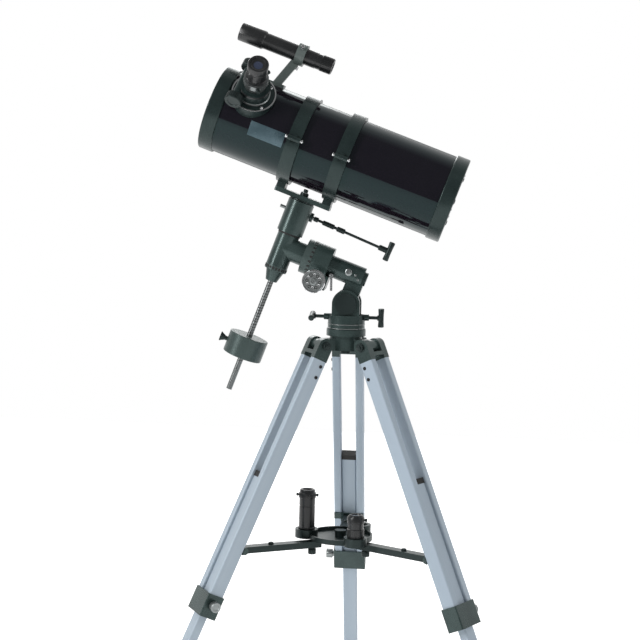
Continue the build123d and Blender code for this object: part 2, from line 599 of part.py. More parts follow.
# Azimuth base
def azimuth_base():
    """The turning base with the fork that holds the polar housing, and the bosses of the latitude screws."""
    base = rod(BASE_RADIUS, up(PIVOT_HEIGHT - BASE_BOTTOM), up(PIVOT_HEIGHT - BASE_TOP))
    fork_low = PIVOT_HEIGHT - BASE_BOTTOM
    base += block((-FORK_RADIUS, -FORK_HALF, fork_low), (FORK_RADIUS, FORK_HALF, PIVOT_HEIGHT))
    base += rod(FORK_RADIUS, (0, -FORK_HALF, PIVOT_HEIGHT), (0, FORK_HALF, PIVOT_HEIGHT))
    slot_floor = PIVOT_HEIGHT - FORK_SLOT_DEPTH
    slot_half = 2 * FORK_RADIUS
    base -= block((-slot_half, -FORK_SLOT_HALF, slot_floor), (slot_half, FORK_SLOT_HALF, 2 * PIVOT_HEIGHT))
    level = PIVOT_HEIGHT - TSCREW_DROP
    for side in (-1, 1):
        base += rod(TSCREW_BOSS_RADIUS, (0, 0, level), (side * TSCREW_BOSS_END, 0, level))
    base -= block((-FORK_RADIUS, -FORK_SLOT_HALF, slot_floor), (FORK_RADIUS, FORK_SLOT_HALF, PIVOT_HEIGHT))
    base -= rod(TSCREW_RADIUS + PIN_FIT, (-TSCREW_BOSS_END, 0, level), (TSCREW_BOSS_END, 0, level))
    base -= rod(LATITUDE_PIN_RADIUS, (0, -2 * FORK_HALF, PIVOT_HEIGHT), (0, 2 * FORK_HALF, PIVOT_HEIGHT))
    return base - rod(CENTRE_BOLT_RADIUS + PIN_FIT, up(0), up(HEAD_TOP + CENTRE_BOLT_HEAD + RUNNING))


def latitude_pin():
    pin = rod(LATITUDE_PIN_RADIUS, (0, -FORK_HALF, PIVOT_HEIGHT), (0, FORK_HALF, PIVOT_HEIGHT))
    outside = FORK_HALF + LATITUDE_DISC_THICK
    for side in (-1, 1):
        near, far = (0, side * FORK_HALF, PIVOT_HEIGHT), (0, side * outside, PIVOT_HEIGHT)
        pin += rod(LATITUDE_DISC_RADIUS, near, far)
    return pin


def latitude_screw(side, bar_turn):
    """A tee-handled screw through the base's boss, with its bar turned about the screw."""
    level = PIVOT_HEIGHT - TSCREW_DROP
    start = side * (FORK_RADIUS - TSCREW_INSIDE)
    bar_at = side * TSCREW_BAR_AT
    hub_start = side * (TSCREW_BAR_AT - TSCREW_HUB_LENGTH)
    screw = rod(TSCREW_RADIUS, (start, 0, level), (bar_at, 0, level))
    screw += rod(TSCREW_HUB_RADIUS, (hub_start, 0, level), (bar_at, 0, level))
    aside = TSCREW_BAR_HALF * math.sin(math.radians(bar_turn))
    rise = TSCREW_BAR_HALF * math.cos(math.radians(bar_turn))
    return screw + rod(TSCREW_BAR_RADIUS, (bar_at, -aside, level - rise), (bar_at, aside, level + rise))


# Polar axis, in the mount's frame
RA_DRIVE = Plane(origin=(WORM_AT, 0, 0), x_dir=(0, 1, 0), z_dir=(1, 0, 0))
DEC_DRIVE = Plane(origin=(0, 0, DEC_WORM_HEIGHT), x_dir=(-1, 0, 0), z_dir=(0, 0, 1))


def in_mesh(teeth):
    """The turn of a worm, in degrees, that sets its thread between the teeth of a wheel at rest."""
    return 270 - 90 * teeth


def polar_housing():
    housing = rod(RA_BARREL_RADIUS, along(BARREL_START), along(BARREL_END))
    housing += rod(SLEEVE_RADIUS, along(BARREL_END), along(SLEEVE_END))
    housing += rod(SLEEVE_CAP_RADIUS, along(SLEEVE_END), along(SLEEVE_CAP_END))
    box_low = WORM_BELOW + WORM_TIP + WORM_BOX_WALL
    housing += block((WORM_AT - WORM_BOX_FRONT, -WORM_BOX_HALF, -box_low),
                     (WORM_AT + WORM_BOX_REAR, WORM_BOX_HALF, -WORM_BOX_TOP))
    lug_start, lug_end = PIVOT_ALONG - LUG_ROUND, PIVOT_ALONG + LUG_ROUND
    housing += block((lug_start, -LUG_HALF, -PIVOT_BELOW), (lug_end, LUG_HALF, 0))
    housing += rod(LUG_ROUND, (PIVOT_ALONG, -LUG_HALF, -PIVOT_BELOW), (PIVOT_ALONG, LUG_HALF, -PIVOT_BELOW))
    chamber = WHEEL_WIDTH / 2 + WHEEL_SIDE_ROOM
    housing -= rod(WHEEL_TIP + WHEEL_ROOM, along(WORM_AT - chamber), along(WORM_AT + chamber))
    housing -= rod(RA_SHAFT_RADIUS + PIN_FIT, along(0), along(SHAFT_BORE_END))
    worm_half = (WORM_TURNS / 2 + 1) * WORM_PITCH + WORM_END_ROOM
    worm_start, worm_end = (WORM_AT, -worm_half, -WORM_BELOW), (WORM_AT, worm_half, -WORM_BELOW)
    housing -= rod(WORM_TIP + WHEEL_ROOM, worm_start, worm_end)
    housing -= rod(WORM_SHAFT_RADIUS + PIN_FIT, (WORM_AT, -RA_KNOB_FRONT, -WORM_BELOW),
                   (WORM_AT, RA_KNOB_FRONT, -WORM_BELOW))
    housing -= rod(LEVER_STUD_RADIUS + PIN_FIT, (LEVER_AT, -LEVER_STUD_START, -LEVER_BELOW),
                   (LEVER_AT, -2 * SLEEVE_RADIUS, -LEVER_BELOW))
    return housing - rod(LATITUDE_PIN_RADIUS + PIN_FIT, (PIVOT_ALONG, -FORK_HALF, -PIVOT_BELOW),
                         (PIVOT_ALONG, FORK_HALF, -PIVOT_BELOW))


def ra_shaft():
    """The polar shaft with its worm wheel."""
    start = DEC_SHAFT_RADIUS + SHAFT_CROSSING
    shaft = rod(RA_SHAFT_RADIUS, along(start), along(SHAFT_BORE_END - SHAFT_END_GAP))
    wheel = RA_DRIVE * gear(WHEEL_RADIUS, WHEEL_TEETH, WHEEL_WIDTH, RA_SHAFT_RADIUS - TOOTH_SINK)
    return shaft + wheel


def ra_worm():
    screw = Rot(0, 90, 0) * Rot(0, 0, in_mesh(WHEEL_TEETH)) * worm(WORM_RADIUS, WORM_PITCH, WORM_TURNS)
    shaft_start = RA_KNOB_THICK - RA_KNOB_FRONT
    screw += rod(WORM_SHAFT_RADIUS, along(shaft_start), along(WORM_BOX_HALF + WORM_SHAFT_FAR))
    return RA_DRIVE * Pos(0, -WORM_BELOW, 0) * screw


def ra_knob():
    back = (WORM_AT, RA_KNOB_THICK - RA_KNOB_FRONT, -WORM_BELOW)
    knob = rod(RA_KNOB_RADIUS, (WORM_AT, -RA_KNOB_FRONT, -WORM_BELOW), back)
    knob = chamfer(knob.edges(), RA_KNOB_CHAMFER)
    hub_end = (WORM_AT, -WORM_BOX_HALF - RUNNING, -WORM_BELOW)
    return knob + pipe(RA_KNOB_HUB_RADIUS, WORM_SHAFT_RADIUS, back, hub_end)


def ra_clamp_lever():
    """The small lever that locks the polar axis, on a stud in the sleeve's near side."""
    head = -LEVER_STUD_END
    stud_start = (LEVER_AT, -LEVER_STUD_START, -LEVER_BELOW)
    lever = rod(LEVER_STUD_RADIUS, stud_start, (LEVER_AT, head, -LEVER_BELOW))
    middle = head + LEVER_RADIUS
    return lever + rod(LEVER_RADIUS, (LEVER_AT, middle, -LEVER_BELOW),
                       (LEVER_AT + LEVER_SLANT, middle, -LEVER_BELOW - LEVER_LENGTH))


def ra_setting_circle():
    return pipe(CIRCLE_RADIUS, NECK_RADIUS + RUNNING, along(CIRCLE_START), along(CIRCLE_END))


# Declination axis, in the mount's frame
def dec_housing():
    housing = rod(DEC_HOUSING_RADIUS, up(-DEC_HOUSING_BOTTOM), up(DEC_HOUSING_TOP))
    housing += rod(NECK_RADIUS, along(0), along(CIRCLE_END))
    housing -= rod(DEC_SHAFT_RADIUS + PIN_FIT, up(-DEC_HOUSING_BOTTOM), up(DEC_HOUSING_TOP))
    return housing - rod(RA_SHAFT_RADIUS, along(DEC_SHAFT_RADIUS + SHAFT_CROSSING), along(CIRCLE_END))


def dec_head():
    """The drum on top of the declination housing, with the slow-motion worm inside."""
    def worm_line(radius, start, end):
        return rod(radius, (start, DEC_WORM_ASIDE, DEC_WORM_HEIGHT), (end, DEC_WORM_ASIDE, DEC_WORM_HEIGHT))

    head = rod(DEC_HEAD_RADIUS, up(DEC_HOUSING_TOP), up(DEC_HEAD_TOP))
    reach = DEC_HEAD_RADIUS + DEC_WORM_BOSS_REACH
    head += worm_line(DEC_WORM_TIP + DEC_WORM_BOSS_WALL, -DEC_HEAD_RADIUS, reach)
    head -= rod(DEC_SHAFT_RADIUS + PIN_FIT, up(0), up(DEC_HEAD_TOP))
    chamber = WHEEL_WIDTH / 2 + WHEEL_SIDE_ROOM
    head -= rod(DEC_WHEEL_TIP + WHEEL_ROOM, up(DEC_WORM_HEIGHT - chamber), up(DEC_WORM_HEIGHT + chamber))
    half = (DEC_WORM_TURNS / 2 + 1) * WORM_PITCH
    head -= worm_line(DEC_WORM_TIP + DEC_WORM_ROOM, -half, half)
    return head - worm_line(DEC_WORM_SHAFT_RADIUS + PIN_FIT, -2 * reach, 2 * reach)


def dec_shaft():
    """The declination shaft with its worm wheel, its flange and the nut above the saddle plate."""
    shaft = rod(DEC_SHAFT_RADIUS, up(-DEC_HOUSING_BOTTOM), up(PLATE_BOTTOM))
    shaft += DEC_DRIVE * gear(DEC_WHEEL_RADIUS, DEC_WHEEL_TEETH, WHEEL_WIDTH, DEC_SHAFT_RADIUS - TOOTH_SINK)
    shaft += rod(FLANGE_RADIUS, up(DEC_HEAD_TOP + RUNNING), up(PLATE_BOTTOM))
    shaft += rod(SADDLE_STUD_RADIUS, up(PLATE_BOTTOM), up(PLATE_TOP))
    return shaft + rod(SADDLE_NUT_RADIUS, up(PLATE_TOP), up(PLATE_TOP + SADDLE_NUT_HEIGHT))


def dec_worm():
    thread = worm(DEC_WORM_RADIUS, WORM_PITCH, DEC_WORM_TURNS)
    screw = Rot(0, 90, 0) * Rot(0, 0, in_mesh(DEC_WHEEL_TEETH)) * thread
    screw += rod(DEC_WORM_SHAFT_RADIUS, along(-CABLE_START), along(CABLE_START + DEC_WORM_END))
    return DEC_DRIVE * Pos(0, -DEC_WORM_ASIDE, 0) * screw


droop = math.radians(CABLE_DROOP)
# The slow-motion rod's own frame: z runs along the rod, away from the worm
CABLE = Plane(origin=(CABLE_START + RUNNING, DEC_WORM_ASIDE, DEC_WORM_HEIGHT), x_dir=(0, 1, 0),
              z_dir=(math.cos(droop), 0, -math.sin(droop)))


def dec_cable():
    line = rod(CABLE_RADIUS, up(0), up(CABLE_LENGTH))
    for start, end in CABLE_SLEEVES:
        line += rod(CABLE_SLEEVE_RADIUS, up(start), up(end))
    return CABLE * line


def dec_handle():
    hub_end = CABLE_LENGTH + HANDLE_HUB_LENGTH
    handle = rod(HANDLE_HUB_RADIUS, up(CABLE_LENGTH), up(hub_end))
    bar_at = hub_end + HANDLE_BAR_RADIUS - HANDLE_BAR_SINK
    handle += rod(HANDLE_BAR_RADIUS, (0, -HANDLE_BAR_HALF, bar_at), (0, HANDLE_BAR_HALF, bar_at))
    return CABLE * handle


def shaft_collar():
    """The cone that screws on under the declination housing and holds the counterweight rod."""
    height = COLLAR_BOTTOM - DEC_HOUSING_BOTTOM - RUNNING
    cone = Cone(COLLAR_BOTTOM_RADIUS, COLLAR_TOP_RADIUS, height, align=UPWARDS)
    collar = Pos(0, 0, -COLLAR_BOTTOM) * cone
    return collar - rod(ROD_RADIUS, up(-COLLAR_BOTTOM), up(0))


def counterweight_rod():
    return rod(ROD_RADIUS, up(-ROD_BOTTOM), up(-DEC_HOUSING_BOTTOM))


def counterweight():
    weight = rod(WEIGHT_RADIUS, up(-WEIGHT_TOP - WEIGHT_HEIGHT), up(-WEIGHT_TOP))
    weight = fillet(weight.edges().filter_by(GeomType.CIRCLE), WEIGHT_ROUND)
    weight -= rod(ROD_RADIUS + RUNNING, up(-ROD_BOTTOM), up(0))
    middle = -WEIGHT_TOP - WEIGHT_HEIGHT / 2
    return weight - rod(WEIGHT_SCREW_RADIUS + PIN_FIT, (-2 * WEIGHT_RADIUS, 0, middle), (0, 0, middle))


def counterweight_screw():
    middle = -WEIGHT_TOP - WEIGHT_HEIGHT / 2
    knob_start = -WEIGHT_RADIUS - RUNNING
    screw = rod(WEIGHT_SCREW_RADIUS, (-ROD_RADIUS - RUNNING, 0, middle), (knob_start, 0, middle))
    knob_end = knob_start - WEIGHT_KNOB_LENGTH
    return screw + rod(WEIGHT_KNOB_RADIUS, (knob_start, 0, middle), (knob_end, 0, middle))


# Saddle plate and tube rings, in the mount's frame
def saddle_plate():
    plate = block((-PLATE_HALF_LENGTH, -PLATE_HALF_WIDTH, PLATE_BOTTOM),
                  (PLATE_HALF_LENGTH, PLATE_HALF_WIDTH, PLATE_TOP))
    plate = fillet(plate.edges().filter_by(Axis.Z), PLATE_ROUND)
    return plate - rod(SADDLE_STUD_RADIUS, up(0), up(TUBE_HEIGHT))


def ring_band(at, half):
    """Half of a tube ring, lower for -1 and upper for 1, with its hinge knuckles and clamp ear."""
    low, high = at - RING_WIDTH / 2, at + RING_WIDTH / 2
    axis = TUBE_HEIGHT
    band = pipe(RING_OUTER, RING_RADIUS, (low, 0, axis), (high, 0, axis))
    edge = RUNNING / 2
    start, end = sorted((half * edge, half * 2 * RING_OUTER))
    band &= block((low, -2 * RING_OUTER, axis + start), (high, 2 * RING_OUTER, axis + end))
    ear_start, ear_end = sorted((half * edge, half * RING_EAR_THICK))
    ear = block((low, RING_RADIUS, axis + ear_start), (high, RING_OUTER + RING_EAR_LENGTH, axis + ear_end))
    ear -= rod(RING_SCREW_RADIUS + RING_SCREW_ROOM, (at, RING_EAR_OUT, axis - RING_OUTER),
               (at, RING_EAR_OUT, axis + RING_OUTER))
    third = RING_WIDTH / 3
    if half > 0:
        knuckles = [(low + third + RUNNING, high - third - RUNNING)]
        bore = RING_PIN_RADIUS + PIN_FIT
    else:
        knuckles = [(low, low + third), (high - third, high)]
        bore = RING_PIN_RADIUS
    band -= rod(RING_HINGE_RADIUS + RUNNING, (low, -RING_HINGE_OUT, axis), (high, -RING_HINGE_OUT, axis))
    band += ear
    web_low, web_high = sorted((axis, axis + half * (RING_HINGE_RADIUS + RING_WEB)))
    for start, end in knuckles:
        knuckle = rod(RING_HINGE_RADIUS, (start, -RING_HINGE_OUT, axis), (end, -RING_HINGE_OUT, axis))
        knuckle += block((start, -RING_HINGE_OUT, web_low), (end, -RING_RADIUS, web_high))
        band += knuckle - rod(bore, (start, -RING_HINGE_OUT, axis), (end, -RING_HINGE_OUT, axis))
    return band - rod(RING_RADIUS, (low, 0, axis), (high, 0, axis))


def ring_lower(at):
    """A ring's lower half with its foot on the saddle plate."""
    half = RING_WIDTH / 3
    foot_top = TUBE_HEIGHT - RING_RADIUS
    foot = block((at - half, -PLATE_HALF_WIDTH, PLATE_TOP), (at + half, PLATE_HALF_WIDTH, foot_top))
    foot -= rod(RING_RADIUS, (at - RING_WIDTH, 0, TUBE_HEIGHT), (at + RING_WIDTH, 0, TUBE_HEIGHT))
    return ring_band(at, -1) + foot


def ring_pin(at):
    reach = RING_WIDTH / 2 + RING_PIN_END
    start, end = at - reach, at + reach
    return rod(RING_PIN_RADIUS, (start, -RING_HINGE_OUT, TUBE_HEIGHT), (end, -RING_HINGE_OUT, TUBE_HEIGHT))


def ring_screw(at):
    """The knurled clamp screw on a ring's far side, captive in the upper ear."""
    top = TUBE_HEIGHT + RING_EAR_THICK + RUNNING
    screw = rod(RING_SCREW_RADIUS, (at, RING_EAR_OUT, TUBE_HEIGHT - RING_EAR_THICK), (at, RING_EAR_OUT, top))
    return screw + rod(RING_KNOB_RADIUS, (at, RING_EAR_OUT, top), (at, RING_EAR_OUT, top + RING_KNOB_LENGTH))


# Optical tube, in the mount's frame
def tube_line(x):
    return (x, 0, TUBE_HEIGHT)


def optical_tube():
    tube = pipe(TUBE_RADIUS, TUBE_RADIUS - TUBE_WALL, tube_line(-TUBE_FRONT), tube_line(TUBE_REAR))
    return tube - FOCUSER * rod(DRAWTUBE_RADIUS + DRAWTUBE_HOLE, up(0), up(2 * TUBE_RADIUS))


def front_ring():
    """The moulded ring over the tube's open end, with a lip in front."""
    outer, start = TUBE_RADIUS + FRONT_RING_PROUD, -TUBE_FRONT - FRONT_RING_PROUD
    ring = rod(outer, tube_line(start), tube_line(start + FRONT_RING_LENGTH))
    ring = fillet(ring.edges().filter_by(GeomType.CIRCLE), FRONT_RING_ROUND)
    ring -= rod(TUBE_RADIUS, tube_line(-TUBE_FRONT), tube_line(0))
    return ring - rod(TUBE_RADIUS - FRONT_LIP, tube_line(2 * start), tube_line(0))


def rear_cell():
    """The moulded cell over the tube's rear end, with the plate that carries the mirror on three posts."""
    outer, end = TUBE_RADIUS + REAR_CELL_PROUD, TUBE_REAR + CELL_PLATE_THICK
    cell = rod(outer, tube_line(end - REAR_CELL_LENGTH), tube_line(end))
    cell = fillet(cell.edges().filter_by(GeomType.CIRCLE), REAR_CELL_ROUND)
    cell -= rod(TUBE_RADIUS, tube_line(0), tube_line(TUBE_REAR))
    back = TUBE_REAR - MIRROR_GAP
    for n in range(MIRROR_POSTS):
        post = rod(MIRROR_POST_RADIUS, (back, 0, MIRROR_POST_ORBIT), (TUBE_REAR, 0, MIRROR_POST_ORBIT))
        cell += Pos(0, 0, TUBE_HEIGHT) * Rot(360 * n / MIRROR_POSTS, 0, 0) * post
    return cell


def primary_mirror():
    back = TUBE_REAR - MIRROR_GAP
    mirror = rod(MIRROR_RADIUS, tube_line(back - MIRROR_THICK), tube_line(back))
    bottom = back - MIRROR_THICK + MIRROR_SAG
    return mirror - Pos(bottom - MIRROR_CURVE, 0, TUBE_HEIGHT) * Sphere(MIRROR_CURVE)


def spider():
    """Four thin vanes across the tube's front, and the round holder of the small mirror."""
    inner = TUBE_RADIUS - TUBE_WALL
    holder = rod(SECONDARY_RADIUS, tube_line(SPIDER_AT), tube_line(FOCUSER_AT - SECONDARY_LENGTH))
    between = 360 / SPIDER_VANES
    vane = block((SPIDER_AT, -SPIDER_VANE / 2, SECONDARY_RADIUS - SPIDER_SINK),
                 (SPIDER_AT + SPIDER_WIDTH, SPIDER_VANE / 2, TUBE_RADIUS))
    for n in range(SPIDER_VANES):
        holder += Pos(0, 0, TUBE_HEIGHT) * Rot(FOCUSER_ROLL + between * (n + 1 / 2), 0, 0) * vane
    return holder & rod(inner, tube_line(-TUBE_FRONT), tube_line(0))


def secondary_mirror():
    """The small flat mirror, a slanted cylinder that faces the focuser."""
    stalk = rod(SECONDARY_RADIUS, along(-SECONDARY_LENGTH), along(SECONDARY_RADIUS))
    room = 8 * SECONDARY_RADIUS
    cut = Rot(0, 45, 0) * Box(room, room, room, align=UPWARDS)
    return FOCUSER * (stalk - cut)


# Focuser and eyepiece, in the focuser's frame
def focus_shaft_line(radius, start, end):
    """A round bar on the pinion's axis."""
    return rod(radius, (PINION_ASIDE, start, PINION_HEIGHT), (PINION_ASIDE, end, PINION_HEIGHT))


def focuser_body():
    body = rod(FOCUSER_FLANGE_RADIUS, up(TUBE_RADIUS / 2), up(FOCUSER_FLANGE_TOP))
    body += rod(FOCUSER_BODY_RADIUS, up(FOCUSER_FLANGE_TOP), up(FOCUSER_BODY_TOP))
    housing_half = FOCUS_KNOB_AT - PINION_HOUSING_GAP
    body += focus_shaft_line(PINION_HOUSING_RADIUS, -housing_half, housing_half)
    body -= rod(TUBE_RADIUS, along(-TUBE_RADIUS), along(TUBE_RADIUS))
    body -= rod(DRAWTUBE_RADIUS + RUNNING, up(0), up(2 * FOCUSER_BODY_TOP))
    room = PINION_HALF + PINION_ROOM
    body -= focus_shaft_line(PINION_RADIUS + RUNNING, -room, room)
    return body - focus_shaft_line(PINION_SHAFT_RADIUS + PIN_FIT, -FOCUS_KNOB_AT, FOCUS_KNOB_AT)


def drawtube():
    inner = DRAWTUBE_RADIUS - DRAWTUBE_WALL
    tube = pipe(DRAWTUBE_RADIUS, inner, up(DRAWTUBE_BOTTOM), up(DRAWTUBE_TOP))
    lip_low = DRAWTUBE_TOP - DRAWTUBE_LIP_LENGTH
    return tube + pipe(DRAWTUBE_RADIUS + DRAWTUBE_LIP, inner, up(lip_low), up(DRAWTUBE_TOP))


def eyepiece():
    piece = rod(EYEPIECE_BARREL_RADIUS, up(DRAWTUBE_TOP - EYEPIECE_BARREL_LENGTH), up(DRAWTUBE_TOP))
    return piece + rod(EYEPIECE_RADIUS, up(DRAWTUBE_TOP), up(EYEPIECE_TOP))


def focus_pinion():
    pinion = focus_shaft_line(PINION_RADIUS, -PINION_HALF, PINION_HALF)
    return pinion + focus_shaft_line(PINION_SHAFT_RADIUS, -FOCUS_KNOB_AT, FOCUS_KNOB_AT)


def focus_knobs():
    knobs = []
    for side in (-1, 1):
        start, end = side * FOCUS_KNOB_AT, side * (FOCUS_KNOB_AT + FOCUS_KNOB_LENGTH)
        knob = focus_shaft_line(FOCUS_KNOB_RADIUS, start, end)
        knobs.append(chamfer(knob.edges().filter_by(GeomType.CIRCLE), FOCUS_KNOB_CHAMFER))
    return knobs


# Finder, in the mount's frame, straight above the tube
def finder_tube():
    front = FINDER_REAR - FINDER_LENGTH
    tube = rod(FINDER_RADIUS, (front, 0, FINDER_AXIS), (FINDER_REAR, 0, FINDER_AXIS))
    cell_end = front + FINDER_CELL_LENGTH
    tube += rod(FINDER_RADIUS + FINDER_CELL_PROUD, (front, 0, FINDER_AXIS), (cell_end, 0, FINDER_AXIS))
    return chamfer(tube.edges().filter_by(GeomType.CIRCLE), FINDER_CHAMFER)


def finder_bracket():
    """The finder's ring on a slanted stem, with a foot that follows the tube."""
    low, high = FINDER_RING_AT - FINDER_RING_WIDTH / 2, FINDER_RING_AT + FINDER_RING_WIDTH / 2
    ring = rod(FINDER_RADIUS + FINDER_RING_THICK, (low, 0, FINDER_AXIS), (high, 0, FINDER_AXIS))
    base = TUBE_HEIGHT + TUBE_RADIUS
    foot_start, foot_end = FINDER_FOOT_AT - FINDER_FOOT_HALF_LENGTH, FINDER_FOOT_AT + FINDER_FOOT_HALF_LENGTH
    foot = block((foot_start, -FINDER_FOOT_HALF_WIDTH, TUBE_HEIGHT + TUBE_RADIUS / 2),
                 (foot_end, FINDER_FOOT_HALF_WIDTH, base + FINDER_FOOT_RISE))
    stem_low, stem_high = FINDER_FOOT_AT - FINDER_STEM / 2, FINDER_FOOT_AT + FINDER_STEM / 2
    stem_top = ((high, FINDER_AXIS), (low, FINDER_AXIS))
    stem = make_face(Polyline((stem_low, base), (stem_high, base), *stem_top, close=True))
    bracket = ring + foot + extrude(Plane.XZ * stem, FINDER_STEM_THICK / 2, both=True)
    bracket -= rod(TUBE_RADIUS, tube_line(-TUBE_FRONT), tube_line(0))
    return bracket - rod(FINDER_RADIUS, (2 * FINDER_RING_AT, 0, FINDER_AXIS), (0, 0, FINDER_AXIS))


def slow_motion_control():
    """The declination's slow-motion rod with its tee handle."""
    return [dec_cable(), dec_handle()]


# The assembly
def put(frame, shapes):
    """The shapes of a node, moved from their own frame to the object's."""
    shapes = shapes if isinstance(shapes, list) else [shapes]
    return [frame * shape for shape in shapes]


def leg_nodes(number, turn):
    """The six nodes of one leg."""
    plane = leg_plane(turn)
    name = f"leg_{number}_"
    return {
        name + "rails": put(plane, [leg_rail(-1), leg_rail(1)]),
        name + "castings": put(plane, [leg_bracket(), leg_clamp(), brace_bracket()]),
        name + "brace": put(plane, brace()),
        name + "lower": put(plane, lower_leg()),
        name + "caps": put(plane, leg_glide()) + [leg_foot(plane)],
        name + "lock_screw": put(plane, lock_screw()),
    }


def all_nodes():
    nodes = {"tripod_head": [tripod_head()], "tripod_bolts": tripod_bolts()}
    for number, turn in enumerate(LEG_TURNS, 1):
        nodes |= leg_nodes(number, turn)
    nodes |= {
        "accessory_tray": [accessory_tray()],
        "tray_lens_tube": [tray_piece(CUP_TURNS[1], LENS_TUBE_HEIGHT)],
        "tray_eyepiece": [tray_piece(CUP_TURNS[2], TRAY_EYEPIECE_HEIGHT)],
        "azimuth_base": [azimuth_base()],
        "latitude_pin": [latitude_pin()],
        "latitude_screw_front": [latitude_screw(-1, TSCREW_FRONT_TURN)],
        "latitude_screw_rear": [latitude_screw(1, TSCREW_REAR_TURN)],
    }
    rings = (-RING_OFFSET, RING_OFFSET)
    mounted = {
        "polar_housing": polar_housing(),
        "ra_shaft": ra_shaft(),
        "ra_worm": ra_worm(),
        "ra_knob": ra_knob(),
        "ra_clamp_lever": ra_clamp_lever(),
        "ra_setting_circle": ra_setting_circle(),
        "dec_housing": [dec_housing(), dec_head()],
        "dec_worm": dec_worm(),
        "slow_motion_control": slow_motion_control(),
        "dec_shaft": dec_shaft(),
        "shaft_collar": shaft_collar(),
        "counterweight_rod": counterweight_rod(),
        "counterweight": counterweight(),
        "counterweight_screw": counterweight_screw(),
        "saddle_plate": saddle_plate(),
        "ring_lower_halves": [ring_lower(at) for at in rings],
        "ring_pins": [ring_pin(at) for at in rings],
        "ring_upper_front": ring_band(rings[0], 1),
        "ring_upper_rear": ring_band(rings[1], 1),
        "ring_screw_front": ring_screw(rings[0]),
        "ring_screw_rear": ring_screw(rings[1]),
        "tube": optical_tube(),
        "front_ring": front_ring(),
        "rear_cell": rear_cell(),
        "primary_mirror": primary_mirror(),
        "spider": spider(),
        "secondary_mirror": secondary_mirror(),
        "finder_tube": finder_tube(),
        "finder_bracket": finder_bracket(),
    }
    for name, shapes in mounted.items():
        nodes[name] = put(MOUNT, shapes)
    focuser = {
        "focuser_body": focuser_body(),
        "drawtube": drawtube(),
        "focus_knobs": focus_knobs() + [focus_pinion()],
        "eyepiece": eyepiece(),
    }
    for name, shapes in focuser.items():
        nodes[name] = put(MOUNT, put(FOCUSER, shapes))
    return nodes


def middle_of_feet(nodes):
    """The centre, on the floor, of the box round the three feet."""
    feet = Compound(children=[nodes[f"leg_{n}_caps"][1] for n in (1, 2, 3)]).bounding_box()
    return Vector(feet.center().X, feet.center().Y, 0)


def export_all():
    os.makedirs("parts", exist_ok=True)
    nodes = all_nodes()
    middle = middle_of_feet(nodes)
    for name, shapes in nodes.items():
        solids = [solid.translate(-middle) for shape in shapes for solid in shape.solids()]
        node = solids[0] if len(solids) == 1 else Compound(children=solids)
        node.label = name
        export_step(node, f"parts/{name}.step")


export_all()
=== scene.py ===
"""Looks of a short reflecting telescope on an equatorial mount and an aluminium tripod, in metres."""
import json
import math

import bpy
from mathutils import Matrix, Vector


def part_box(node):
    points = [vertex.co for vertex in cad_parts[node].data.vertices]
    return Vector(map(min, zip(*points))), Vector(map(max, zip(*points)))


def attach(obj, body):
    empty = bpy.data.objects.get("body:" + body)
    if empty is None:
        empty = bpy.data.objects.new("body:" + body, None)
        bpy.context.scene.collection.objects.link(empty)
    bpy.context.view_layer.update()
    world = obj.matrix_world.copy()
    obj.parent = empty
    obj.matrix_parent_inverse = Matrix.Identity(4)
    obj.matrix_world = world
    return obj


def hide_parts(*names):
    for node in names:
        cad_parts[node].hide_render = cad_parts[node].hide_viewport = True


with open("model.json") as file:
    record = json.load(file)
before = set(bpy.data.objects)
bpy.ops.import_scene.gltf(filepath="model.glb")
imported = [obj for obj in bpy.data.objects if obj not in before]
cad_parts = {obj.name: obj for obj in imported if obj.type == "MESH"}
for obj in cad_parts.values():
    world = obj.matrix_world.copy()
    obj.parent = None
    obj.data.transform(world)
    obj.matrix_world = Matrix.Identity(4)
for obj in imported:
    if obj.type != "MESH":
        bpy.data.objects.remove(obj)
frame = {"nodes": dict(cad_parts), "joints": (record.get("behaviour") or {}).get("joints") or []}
bpy.context.scene.view_settings.view_transform = "Standard"
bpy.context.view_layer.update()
joints = {joint["name"]: joint for joint in frame["joints"]}
nodes = frame["nodes"]
MM = 0.001
LEGS = (1, 2, 3)


# Frames of the assembly, read from its joints
def spot(joint):
    return Vector(joints[joint]["pos_m"])


def line(joint):
    return Vector(joints[joint]["axis"]).normalized()


def frame_of(origin, x_dir, z_dir):
    """A frame with the given x and z directions."""
    x, z = x_dir.normalized(), z_dir.normalized()
    turned_to = Matrix((x, z.cross(x), z)).transposed().to_4x4()
    return Matrix.Translation(origin) @ turned_to


def turn(degrees, axis):
    return Matrix.Rotation(math.radians(degrees), 4, axis)


TRIPOD_AXIS = spot("azimuth_turn")
PIVOT = spot("latitude_tilt")
# x down the polar axis, z up the declination axis
MOUNT = frame_of(spot("ra_axis"), line("ra_axis"), line("dec_axis"))
# x along the tube towards the mirror
TUBE = frame_of(spot("tube_roll"), line("tube_roll"), line("dec_axis"))
LEG = {n: frame_of(spot(f"leg_{n}_fold"), line(f"leg_{n}_fold"), line(f"lower_leg_{n}_slide")) for n in LEGS}
FOCUSER_AT = -135 * MM
# z out of the tube
FOCUSER = frame_of(TUBE @ Vector((FOCUSER_AT, 0, 0)), line("tube_roll"), line("focus_travel"))


# Camera at the photograph's viewpoint
PHOTO_SIZE = 640
FOCAL_PIXELS = 1530
SENSOR = 36
VIEW_DISTANCE = 2.64
VIEW_HEIGHT = 0.986
VIEW_AZIMUTH = 4.5
VIEW_PITCH = 5.4
VIEW_ROLL = 1.5
AXIS_PIXEL = 346.5  # column of the tripod's axis


